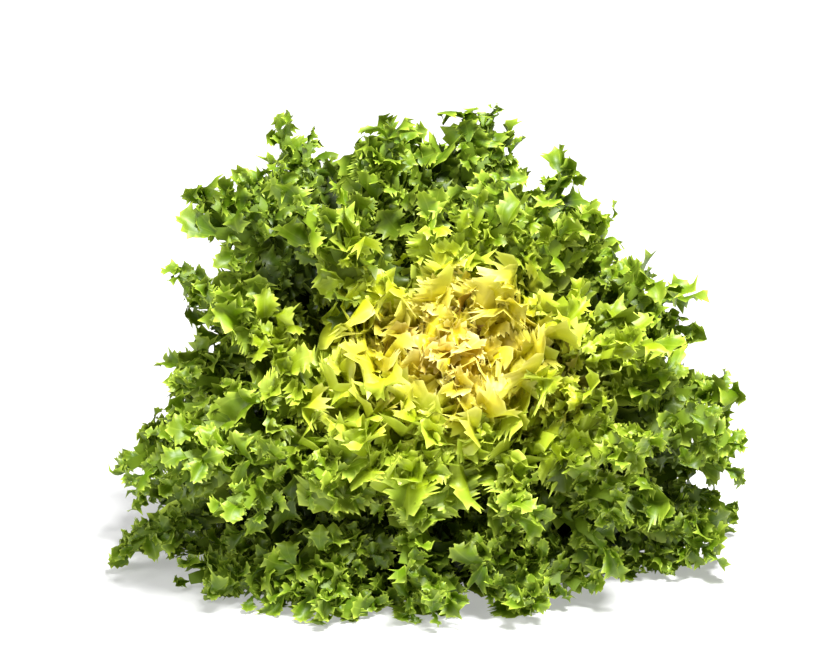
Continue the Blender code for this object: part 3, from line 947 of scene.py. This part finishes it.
def tip_blades(b, given, curves):
    last = add_node(b.tree, "GeometryNodeCurveEndpointSelection", {0: 0, 1: 1}).outputs[0]
    points = b.step("GeometryNodeCurveToPoints", {0: b.stored(curves, "at_end", last)}, mode="EVALUATED")
    before_end = b.less(b.attribute("at_end"), 0.5)  # the mark is 1 at the end and 0 elsewhere
    ends = b.step("GeometryNodeDeleteGeometry", {0: points, 1: before_end}, domain="POINT")
    upper, along = b.attribute("upper", "FLOAT_VECTOR"), b.attribute("along", "FLOAT_VECTOR")
    laid = b.step("FunctionNodeAxesToRotation", {0: upper, 1: along}, **FACING)
    turned = tilted(b, laid, given["Tip tilt"], given["Seed"], 20)
    size = b.maths("MULTIPLY", given["Tip length"], b.drawn(*TIP_SIZES, given["Seed"], 23))
    own_tone = b.drawn(0.0, OWN_TONE, given["Seed"], 24)
    tone = b.maths("MULTIPLY_ADD", b.attribute("leaf_tone"), LEAF_TONE, own_tone)
    real = from_tray(b, given["Tip tray"], b.stored(ends, "tone", tone), turned, size, given["Seed"], 25)
    return b.step("GeometryNodeSetMaterial", {0: real, 2: given["Blade"]})


print("leaves that end in a broad blade:", len(leaves) + len(heart_leaves))

# %% [markdown]
# ## The thickness of ribs
# A rib is a juicy stalk, thick at the base and thin at the tip. Curve to Mesh sweeps a small hexagon along
# each line and closes both ends. How thick it is at each point comes in through the node's Scale input.

# %% Give the ribs their thickness
TUBE_SPACING = 0.005
TUBE_SIDES = 6


def tubes(b, curves, radius, material):
    section = b.step("GeometryNodeCurvePrimitiveCircle", {"Resolution": TUBE_SIDES, "Radius": 1.0})
    swept = {0: b.spaced(curves, TUBE_SPACING), 1: section, "Scale": radius, "Fill Caps": True}
    return b.step("GeometryNodeSetMaterial", {0: b.step("GeometryNodeCurveToMesh", swept), 2: material})


print("a rib's section has", TUBE_SIDES, "sides")

# %% [markdown]
# ## The blade beside the rib
# Between the rib and the lobes runs a narrow strip of blade. It is a line swept along the rib, square to
# the leaf's upper side, and a noise pushes it in and out so that it ruffles.

# %% Sweep the blade beside the rib
STRIP_SPACING = 0.0045
STRIP_POINTS = 5  # across the strip
STRIP_RIM = 3.0  # power: above 1, only the strip's edge gets the painted highlight
RUFFLE_SIZE = 0.02  # metres from one ruffle to the next
RUFFLE_REACH = 1.6  # of the strip's half width
NOISE_MIDDLE = (0.5, 0.5, 0.5)


def ruffled(b, strip, ruffle_size, reach):
    """The strip pushed in and out by a noise, up to half of reach each way."""
    noise = b.step("ShaderNodeTexNoise", {"Scale": 1 / ruffle_size, "Detail": 2.0}, 1)
    push = b.scaled(b.vectors("SUBTRACT", noise, NOISE_MIDDLE), reach)
    return b.step("GeometryNodeSetPosition", {0: strip, 3: push})


def toned_blade(b, given, strip):
    tone = b.maths("MULTIPLY_ADD", b.attribute("leaf_tone"), LEAF_TONE, OWN_TONE / 2)
    toned = b.stored(strip, "tone", tone)
    return b.step("GeometryNodeSetMaterial", {0: toned, 2: given["Blade"]})


def blade_strip(b, given, curves):
    square_to = b.attribute("upper", "FLOAT_VECTOR")
    free = b.step("GeometryNodeSetCurveNormal", {0: curves, 2: square_to}, mode="FREE")
    line = b.step("GeometryNodeCurvePrimitiveLine", {0: (0, -1, 0), 1: (0, 1, 0)})
    evenly = b.step("GeometryNodeResampleCurve", {"Curve": line, "Count": STRIP_POINTS})
    sideways = b.vectors("DOT_PRODUCT", b.step("GeometryNodeInputPosition"), (0, 1, 0))
    section = b.stored(evenly, "rim", b.maths("POWER", b.maths("ABSOLUTE", sideways), STRIP_RIM))
    half = b.maths("MULTIPLY", given["Blade half width"], b.attribute("width"))
    swept = {0: b.spaced(free, STRIP_SPACING), 1: section, "Scale": half}
    strip = b.step("GeometryNodeCurveToMesh", swept)
    return toned_blade(b, given, ruffled(b, strip, RUFFLE_SIZE, b.maths("MULTIPLY", half, RUFFLE_REACH)))


print("a ruffle every", RUFFLE_SIZE * 1000, "mm")

# %% [markdown]
# ## The blade beside each side rib
# The same is done along the side ribs, only narrower and with closer ruffles. It joins the lobes to one
# blade, so that they don't look like single leaves on a twig.

# %% Sweep the blade beside each side rib
SIDE_RUFFLE_SIZE = 0.011
SIDE_RUFFLE_REACH = 2.4
SIDE_STRIP_POINTS = 3


def side_strip(b, given, side_curves):
    upwards = b.step("FunctionNodeRotateVector", {0: (0, 0, 1), 1: b.attribute("turn", "QUATERNION")})
    free = b.step("GeometryNodeSetCurveNormal", {0: side_curves, 2: upwards}, mode="FREE")
    line = b.step("GeometryNodeCurvePrimitiveLine", {0: (0, -1, 0), 1: (0, 1, 0)})
    section = b.step("GeometryNodeResampleCurve", {"Curve": line, "Count": SIDE_STRIP_POINTS})
    half = given["Side blade half width"]
    swept = {0: b.spaced(free, STRIP_SPACING), 1: section, "Scale": half}
    strip = b.step("GeometryNodeCurveToMesh", swept)
    reach = b.maths("MULTIPLY", half, SIDE_RUFFLE_REACH)
    return toned_blade(b, given, ruffled(b, strip, SIDE_RUFFLE_SIZE, reach))


print("a side ruffle every", SIDE_RUFFLE_SIZE * 1000, "mm")

# %% [markdown]
# ## Holding the frills in
# The frills of the real head lie close, so few stand out past its leaves. What would stand out past the
# solids' box is drawn most of the way back to it, in each direction apart from down.

# %% Hold in what stands out
DRAWN_BACK = 0.6  # share of the way
LOWEST_KEPT = (-1, -1, -9)  # in half sizes of the box: nothing reaches nine down, so nothing is drawn up


def held_in(b, geometry):
    low, high = cad_box
    middle = (low + high) / 2
    half = (high - low) / 2
    off = b.vectors("DIVIDE", b.vectors("SUBTRACT", b.step("GeometryNodeInputPosition"), middle), half)
    kept = b.vectors("MINIMUM", b.vectors("MAXIMUM", off, LOWEST_KEPT), (1, 1, 1))
    back = b.vectors("MULTIPLY", b.scaled(b.vectors("SUBTRACT", kept, off), DRAWN_BACK), half)
    return b.step("GeometryNodeSetPosition", {0: geometry, 3: back})


print("drawn back by", DRAWN_BACK)

# %% [markdown]
# ## Lying on the table
# The lowest lobes lie on the table. Cutting them off there would leave a straight edge. So everything under
# a few millimetres is pressed into that height by an exponential, which never quite reaches the table, and
# the lobes there lie nearly flat.

# %% Rest the leaves on the table
TABLE_LAYER = 0.006


def rested_on_table(b, geometry):
    parts = add_node(b.tree, "ShaderNodeSeparateXYZ", {0: b.step("GeometryNodeInputPosition")}).outputs
    over = b.maths("DIVIDE", b.maths("SUBTRACT", parts["Z"], TABLE_LAYER), TABLE_LAYER)
    pressed = b.maths("MULTIPLY", b.maths("EXPONENT", over), TABLE_LAYER)
    lying = b.step("ShaderNodeCombineXYZ", {0: parts["X"], 1: parts["Y"], 2: pressed})
    low = b.less(parts["Z"], TABLE_LAYER)
    return b.step("GeometryNodeSetPosition", {0: geometry, 1: low, 2: lying})


print("pressed under", TABLE_LAYER * 1000, "mm")

# %% [markdown]
# ## The whole tree
# Now the steps are joined. The group's sockets are made from the list of inputs, and the five branches,
# each realized and with its material set, come together in one mesh.


# %% Build the leaf-growing tree
def leaf_growing_tree():
    tree = bpy.data.node_groups.new("grow_leaves", "GeometryNodeTree")
    for name, kind, value in INPUTS:
        socket = tree.interface.new_socket(name, in_out="INPUT", socket_type=kind)
        if value is not None:
            socket.default_value = value
    tree.interface.new_socket("Leaves", in_out="OUTPUT", socket_type="NodeSocketGeometry")
    b = TreeBuilder(tree)
    given = add_node(tree, "NodeGroupInput").outputs
    curves = b.step("GeometryNodeMeshToCurve", {0: given["Ribs"]})
    side_curves = side_ribs(b, given, curves)
    rib_radius = b.maths("MULTIPLY", given["Rib radius"], b.attribute("thick"))
    branches = (
        tubes(b, curves, rib_radius, given["Rib"]),
        blade_strip(b, given, curves),
        side_strip(b, given, side_curves),
        lobes_on(b, given, side_curves),
        tip_blades(b, given, curves),
    )
    joined = add_node(tree, "GeometryNodeJoinGeometry")
    for branch in branches:
        tree.links.new(branch, joined.inputs[0])
    rested = rested_on_table(b, held_in(b, joined.outputs[0]))
    smooth_shaded = b.step("GeometryNodeSetShadeSmooth", {0: rested})
    tree.links.new(smooth_shaded, add_node(tree, "NodeGroupOutput").inputs[0])
    return tree


growing = leaf_growing_tree()
print("tree:", len(growing.nodes), "nodes")

# %% [markdown]
# ## Where a rib ends, and how wide its leaf is
# Only lobes reach past a rib's end, so the rib is drawn a little shorter than the leaf. On some sides of the
# real head the frills lie closer, and there it is drawn shorter still. A leaf is narrow at its base, broad
# past its middle and a little narrower at its tip.

# %% Shape a leaf along its rib
NARROW_BASE = 0.38  # share of the leaf's full width
NARROW_TIP = 0.85
LEAF_OPENS = (0.08, 0.58)  # shares of a leaf between which it widens
LEAF_CLOSES = (0.80, 1.0)
RIB_ENDS = 0.86  # share of a leaf's length
# Sides on which the frills lie closer to the head, by what share of the length, and over what angle
FRILLS_DRAWN_IN = (
    (math.radians(132), 0.09, math.radians(20)),
    (math.radians(68), 0.10, math.radians(22)),
    (math.radians(180), 0.07, math.radians(40)),
)


def rib_end(azimuth):
    """The share of a leaf's length at which its rib ends."""
    end = RIB_ENDS
    for middle, shorter, spread in FRILLS_DRAWN_IN:
        end -= shorter * math.exp(-((math.remainder(azimuth - middle, math.tau) / spread) ** 2))
    return end


def blade_width(share):
    opening = between((NARROW_BASE, 1.0), smooth(share, *LEAF_OPENS))
    return opening * between((1.0, NARROW_TIP), smooth(share, *LEAF_CLOSES))


print("blade widths:", [round(blade_width(share / 4), 2) for share in range(5)])

# %% [markdown]
# ## What a rib tells the tree
# The tree that grows the lobes is given bare lines, and a line alone doesn't say enough. So each point of a
# rib takes along as attributes how far along the leaf it is, how wide and thick the leaf is there, its tone,
# how coarse its lobes are, its direction and its upper side.

# %% Keep what the tree has to know
THICKNESSES = (1.5, 0.22)  # times the tree's rib radius, at a leaf's base and where the rib is thinnest
THINNEST_AT = 0.9  # share of the leaf
THINS_EARLY = 0.6  # power: below 1, most of the thinning comes near the base


def kept_at(direction, upper, share, end, tone, coarseness):
    """What is kept at one point of a rib."""
    return {
        "share": share / end,
        "width": blade_width(share),
        "thick": between(THICKNESSES, min(share / THINNEST_AT, 1) ** THINS_EARLY),
        "leaf_tone": tone,
        "coarseness": coarseness,
        "along": direction,
        "upper": upper,
    }


print("kept at a point:", list(kept_at(AXIS, RISING, 0.5, 1.0, 0.5, 1.0)))

# %% [markdown]
# ## Ribs as lines
# Geometry Nodes start from something, and here that is a mesh of bare edges, one line for each rib. No two
# leaves of a real head have lobes of one size, and those that hang low have the finest. So each leaf draws
# its coarseness here, from a seed that is the family's name.

# %% Draw the ribs as lines
COARSENESSES = (0.74, 1.18)  # times the lobe length
LOW_TIPS = (0.10, 0.02)  # heights of a leaf's tip, between which its lobes grow finer
LOW_COARSENESS = 0.82  # times the coarseness of a leaf that hangs higher


def ribs_mesh(name, family_leaves):
    points, edges, kept = [], [], []
    draw = random.Random(name)
    for _, rib, tone in family_leaves:
        start = len(points)
        to_tip = rib[-1][0] - STEM_CENTRE
        end = rib_end(math.atan2(to_tip.dot(SIDEWAYS), to_tip.dot(RISING)))
        low_down = smooth(rib[-1][0].z, *LOW_TIPS)
        coarseness = draw.uniform(*COARSENESSES) * between((1.0, LOW_COARSENESS), low_down)
        for place, direction, upper, share in rib[::2]:
            if share <= end:
                points.append(place)
                kept.append(kept_at(direction, upper, share, end, tone, coarseness))
        edges += [(i, i + 1) for i in range(start, len(points) - 1)]
    mesh = bpy.data.meshes.new(name)
    mesh.from_pydata(points, edges, [])
    for attribute, first in kept[0].items():
        if isinstance(first, Vector):
            values = [part for point in kept for part in point[attribute]]
            mesh.attributes.new(attribute, "FLOAT_VECTOR", "POINT").data.foreach_set("vector", values)
        else:
            values = [point[attribute] for point in kept]
            mesh.attributes.new(attribute, "FLOAT", "POINT").data.foreach_set("value", values)
    return mesh


print("coarseness of the lobes:", COARSENESSES)

# %% [markdown]
# ## Growing a family
# The tree goes on the lines as a modifier. Its inputs are set by each socket's identifier before anything
# is evaluated. What comes out is kept as a plain mesh and the modifier is taken off, so that the piece
# stays as it is seen.


# %% Grow a family's leaves
def grow(name, family_leaves, tray, **sizes):
    """A family's leaves as one plain mesh object."""
    lines = bpy.data.objects.new(name, ribs_mesh(name, family_leaves))
    bpy.context.scene.collection.objects.link(lines)
    modifier = lines.modifiers.new("grow", "NODES")
    modifier.node_group = growing
    inputs = [item for item in growing.interface.items_tree if item.in_out == "INPUT"]
    identifiers = {item.name: item.identifier for item in inputs}
    values = {"Lobe tray": tray, "Tip tray": tip_lobes, "Blade": blade_material, "Rib": rib_material}
    for label, value in (values | sizes).items():
        modifier[identifiers[label]] = value
    graph = bpy.context.evaluated_depsgraph_get()
    mesh = bpy.data.meshes.new_from_object(lines.evaluated_get(graph))
    lines.modifiers.clear()
    lines.data = mesh
    mesh.name = name
    mesh.calc_loop_triangles()
    print(name, len(mesh.loop_triangles), "triangles")
    return lines


def of_family(name):
    return [leaf for leaf in leaves if leaf[0] == name]


print("families:", {name: len(of_family(name)) for _, name in FAMILIES})

# %% [markdown]
# ## The lowest and outer leaves
# These are the dark green leaves outside. The lowest lie on the table and carry the head. They have lobes
# over the outer two thirds, and are the same in all but the seed.

# %% Grow the lowest and outer leaves
lowest = grow("lowest_leaves", of_family("lowest"), leaf_lobes, Seed=55)
outer = grow("outer_leaves", of_family("outer"), leaf_lobes, Seed=11)

# %% [markdown]
# ## The middle and inner leaves
# These stand closer together round the heart. Their lower parts are hidden, so their first side ribs grow
# further out, which keeps the meshes light where nothing would be seen.

# %% Grow the middle and inner leaves
middle = grow("middle_leaves", of_family("middle"), leaf_lobes, Seed=22, **{"First side rib": 0.45})
inner = grow("inner_leaves", of_family("inner"), leaf_lobes, Seed=33, **{"First side rib": 0.55})

# %% [markdown]
# ## The frilled heart
# The heart is the pale middle, which is what one looks for in a frisée. Its leaves are thin and broad, and
# they open only at their ends, in large folded blades with a fringe. So the same tree gets wider blades,
# larger lobes and longer end blades, and grows them on the last third alone.

# %% Grow the heart's leaves
heart_sizes = {
    "Side rib spacing": 0.0110,
    "First side rib": 0.66,
    "Side rib length": 0.013,
    "Lobe spacing": 0.0074,
    "Lobe length": 0.0170,
    "Blade half width": 0.014,
    "Rib radius": 0.0013,
    "Side blade half width": 0.0045,
    "Tip length": 0.031,
    "Tip tilt": 0.35,
}
heart = grow("heart_frill", heart_leaves, heart_lobes, Seed=44, **heart_sizes)

# %% [markdown]
# ## The cut stem
# The head was cut off just under its leaves, so the stem ends in a flat cut. It is turned like a vase: a
# profile of radius and height goes round the axis in rings.

# %% Draw the stem's profile
STEM_LENGTH = 0.024
CUT_RADIUS = STEM_RADIUS * 0.94
DOME_ANGLES = range(10, 100, 10)  # degrees from the axis
DOWN_THE_SIDE = (0.25, 0.5, 0.75, 0.97)  # shares of the stem's length
ACROSS_THE_CUT = (0.985, 0.9, 0.75, 0.55, 0.3)  # shares of the cut's radius


def stem_profile():
    """(radius, height) pairs from the top of the dome, down the side and over the cut."""
    angles = [math.radians(angle) for angle in DOME_ANGLES]
    dome = [(STEM_RADIUS * math.sin(angle), STEM_RADIUS * math.cos(angle)) for angle in angles]
    side = [(between((STEM_RADIUS, CUT_RADIUS), share), -STEM_LENGTH * share) for share in DOWN_THE_SIDE]
    cut = [(CUT_RADIUS * share, -STEM_LENGTH) for share in ACROSS_THE_CUT]
    return dome + side + cut


print("rings of the stem:", len(stem_profile()))

# %% [markdown]
# ## Rings round the stem
# Each pair of the profile gives one ring of points. Leaves once grew down the stem, and their scars make
# it slightly fluted. So a cosine pushes the points in and out, and it fades towards the axis, where the
# dome and the cut are even.

# %% Place the rings
STEM_SIDES = 48
FLUTES = 13
FLUTE_DEPTH = 0.012  # share of the radius
FLUTES_DEEPEN = (0.008, 0.015)  # distances from the axis


def ring_places(profile):
    """The points of all rings, and the distance of each from the axis."""
    points, from_axis = [], []
    for radius, height in profile:
        for side in range(STEM_SIDES):
            angle = math.tau * side / STEM_SIDES
            flute = FLUTE_DEPTH * math.cos(FLUTES * angle) * smooth(radius, *FLUTES_DEEPEN)
            outward = RISING * math.cos(angle) + SIDEWAYS * math.sin(angle)
            points.append(STEM_CENTRE + AXIS * height + outward * radius * (1 + flute))
            from_axis.append(radius)
    return points, from_axis


print("points on the rings:", len(ring_places(stem_profile())[0]))

# %% [markdown]
# ## Turning the stem
# Each ring is joined to the next by quads, and the two poles are closed by triangles. The distance from
# the axis is kept as an attribute, because the rings of colour on the cut follow it.

# %% Turn the stem
FLAT_ON = 0.95  # cosine: a face that looks more nearly along the axis than this stays flat, as on the cut


def stem_mesh():
    profile = stem_profile()
    rings, from_axis = ring_places(profile)
    points = [STEM_CENTRE + AXIS * STEM_RADIUS, *rings, STEM_CENTRE - AXIS * STEM_LENGTH]
    faces = []
    for side in range(STEM_SIDES):
        after = (side + 1) % STEM_SIDES
        faces.append((0, 1 + side, 1 + after))
        for ring in range(len(profile) - 1):
            first = 1 + ring * STEM_SIDES
            second = first + STEM_SIDES
            faces.append((first + side, second + side, second + after, first + after))
        first = 1 + (len(profile) - 1) * STEM_SIDES
        faces.append((first + side, len(points) - 1, first + after))
    mesh = bpy.data.meshes.new("cut_stem")
    mesh.from_pydata(points, [], faces)
    kept = mesh.attributes.new("from_axis", "FLOAT", "POINT")
    kept.data.foreach_set("value", [0.0, *from_axis, 0.0])
    for face in mesh.polygons:
        face.use_smooth = abs(face.normal.dot(AXIS)) < FLAT_ON
    return mesh


stem = bpy.data.objects.new("cut_stem", stem_mesh())
bpy.context.scene.collection.objects.link(stem)
print("stem faces:", len(stem.data.polygons))

# %% [markdown]
# ## The stem's material
# The stem is wet plant flesh under a thin skin. The cut shows creamy pith, a darker ring where the sap ran
# and an edge that the air has browned. The side is pale green, with brown flecks where leaves were pulled
# off. Rings that a noise makes uneven look grown, not printed.

# %% Make the stem's material
FLECK_SIZE = 0.003  # metres
RINGS_STRAY = 0.003  # metres
CUT_SHOWS_TO = 0.96  # share of the stem's length at which the cut's colour has gone
CUT_STOPS = (
    (0.0, "#e6e2bb"),
    (0.60, "#efecd0"),
    (0.72, "#c6bd86"),
    (0.80, "#e0dcb2"),
    (0.93, "#cdb67a"),
    (1.0, "#9a7440"),
)
SIDE_STOPS = ((0.0, "#a98c55"), (0.36, "#c9c084"), (0.5, "#dbe0ac"), (1.0, "#c8d68e"))


def cut_endive_stem():
    material = bpy.data.materials.new("cut_endive_stem")
    material.use_nodes = True
    tree = material.node_tree
    shader = tree.nodes["Principled BSDF"]
    place, off = off_stem(tree)
    height = part_along(tree, off, AXIS)
    flecks = {"Vector": place, "Scale": 1 / FLECK_SIZE, "Detail": 4.0}
    spots = add_node(tree, "ShaderNodeTexNoise", flecks).outputs["Fac"]
    wavy = sums(tree, "MULTIPLY_ADD", spots, RINGS_STRAY, attribute_of(tree, "from_axis"))
    cut = ramp_of(tree, sums(tree, "DIVIDE", wavy, CUT_RADIUS + RINGS_STRAY / 2), CUT_STOPS)
    on_cut = eased(tree, height, -STEM_LENGTH, -STEM_LENGTH * CUT_SHOWS_TO, 1.0, 0.0)
    colour = mixed_colour(tree, on_cut, ramp_of(tree, spots, SIDE_STOPS), cut)
    tree.links.new(colour, shader.inputs["Base Color"])
    bump = add_node(tree, "ShaderNodeBump", {"Height": spots, "Strength": 0.5, "Distance": 0.0008})
    tree.links.new(bump.outputs[0], shader.inputs["Normal"])
    shader.inputs["Roughness"].default_value = 0.45
    shader.inputs["IOR"].default_value = 1.4
    return material


stem.data.materials.append(cut_endive_stem())
print("the stem's material:", stem.data.materials[0].name)

# %% [markdown]
# ## Tie the pieces to the model
# Each piece rides on the head and stands for the plain solids of its family, which are then hidden.

# %% Tie the pieces
OUTER_COUNT = 9  # outer leaves of the solids that lie over the lowest ones
nodes = sorted(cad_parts)
outer_nodes = [node for node in nodes if node.startswith("outer_leaf")]
middle_nodes = [node for node in nodes if node.startswith("middle_leaf")]
inner_nodes = [node for node in nodes if node.startswith("inner_leaf")]
for piece, replaced, slot in (
    (lowest, outer_nodes[OUTER_COUNT:], "leaf_green"),
    (outer, outer_nodes[:OUTER_COUNT], "leaf_green"),
    (middle, middle_nodes, "leaf_light"),
    (inner, inner_nodes, "leaf_pale"),
    (heart, ["heart_leaves"], "heart"),
    (stem, ["stem"], "stem"),
):
    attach(piece, "root")
    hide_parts(*replaced)
    print(piece.name, "stands for", len(replaced), "solids")

# %% [markdown]
# ## The paper sweep
# The photograph was taken on white paper. Close to the head the paper mostly returns the light that falls
# on it, so soft shadows lie there, and too bright a paper would fill the dark gaps between the lobes.
# Further out it glows more by itself, which makes it pure white without a lamp of its own.

# %% Lay the floor
NEAR_GLOW = 0.38
FAR_GLOW = 0.98
NEAR_UP_TO, FAR_FROM = 0.25, 0.9  # metres from the middle
PAPER_GREY = "#c0c0c0"
PAPER_ROUGHNESS = 0.9
FLOOR_REACH = 4  # metres each way
floor_corners = [(x * FLOOR_REACH, y * FLOOR_REACH, 0) for x, y in ((-1, -1), (1, -1), (1, 1), (-1, 1))]
floor_mesh = bpy.data.meshes.new("floor")
floor_mesh.from_pydata(floor_corners, [], [(0, 1, 2, 3)])
floor = bpy.data.objects.new("floor", floor_mesh)
bpy.context.scene.collection.objects.link(floor)
paper = bpy.data.materials.new("white_paper_sweep")
paper.use_nodes = True
paper_shader = paper.node_tree.nodes["Principled BSDF"]
paper_shader.inputs["Base Color"].default_value = linear(PAPER_GREY)
paper_shader.inputs["Roughness"].default_value = PAPER_ROUGHNESS
paper_shader.inputs["Emission Color"].default_value = (1, 1, 1, 1)
paper_place = add_node(paper.node_tree, "ShaderNodeTexCoord").outputs["Object"]
paper_distance = add_node(paper.node_tree, "ShaderNodeVectorMath", {0: paper_place}, operation="LENGTH")
glow_span = {"From Min": NEAR_UP_TO, "From Max": FAR_FROM, "To Min": NEAR_GLOW, "To Max": FAR_GLOW}
glow_span["Value"] = paper_distance.outputs["Value"]
glow = add_node(paper.node_tree, "ShaderNodeMapRange", glow_span).outputs[0]
paper.node_tree.links.new(glow, paper_shader.inputs["Emission Strength"])
floor_mesh.materials.append(paper)
print("floor laid, glow from", NEAR_GLOW, "to", FAR_GLOW)

# %% [markdown]
# ## Light
# In the photograph the light comes from high up, a little from the right and from the camera's side, and it
# is soft: shadows between lobes are dark, but their edges are blurred. A disk of 42 cm gives that. A weaker,
# larger disk from the left keeps that side from going black, and a faint white world does the rest.

# %% Set the lights
LIT_POINT = Vector((0, 0, 0.1))
WORLD_LIGHT = 0.09


def soft_light(name, place, size, energy):
    lamp = bpy.data.lights.new(name, "AREA")
    lamp.shape = "DISK"
    lamp.size = size
    lamp.energy = energy
    lamp_object = bpy.data.objects.new(name, lamp)
    lamp_object.location = place
    towards_head = LIT_POINT - lamp_object.location
    lamp_object.rotation_euler = towards_head.to_track_quat("-Z", "Y").to_euler()
    bpy.context.scene.collection.objects.link(lamp_object)
    print(name, "at", place, "with", energy, "W")


soft_light("soft_top", place=(0.26, -0.34, 1.18), size=0.42, energy=46)
soft_light("soft_left", place=(-0.75, -0.65, 0.75), size=0.5, energy=7)
world = bpy.data.worlds.new("white_studio")
bpy.context.scene.world = world
world.use_nodes = True
world.node_tree.nodes["Background"].inputs["Color"].default_value = (1, 1, 1, 1)
world.node_tree.nodes["Background"].inputs["Strength"].default_value = WORLD_LIGHT
bpy.context.scene.view_settings.view_transform = "Standard"

# %% [markdown]
# ## Camera
# The photograph looks down on the head by about sixteen degrees, from far enough that its lines hardly
# come together. The lens follows from the width that the picture shows at the head.

# %% Set the camera
CAMERA_RISE = math.radians(16)
CAMERA_DISTANCE = 1.25
SENSOR_WIDTH = 36  # millimetres
VIEW_WIDTH = 0.424  # metres that the picture shows at the head
target = Vector((-0.0064, 0, 0.115))
back = Vector((0, -math.cos(CAMERA_RISE), math.sin(CAMERA_RISE)))
camera = bpy.data.cameras.new("camera")
camera.sensor_width = SENSOR_WIDTH
camera.lens = SENSOR_WIDTH * CAMERA_DISTANCE / VIEW_WIDTH
camera_object = bpy.data.objects.new("camera", camera)
camera_object.location = target + back * CAMERA_DISTANCE
camera_object.rotation_euler = (-back).to_track_quat("-Z", "Y").to_euler()
bpy.context.scene.collection.objects.link(camera_object)
bpy.context.scene.camera = camera_object
print("lens:", round(camera.lens, 1), "mm")

# %% [markdown]
# ## Sizes
# The leaves must stay within the solid model's box, give or take what soft frills may stand out.
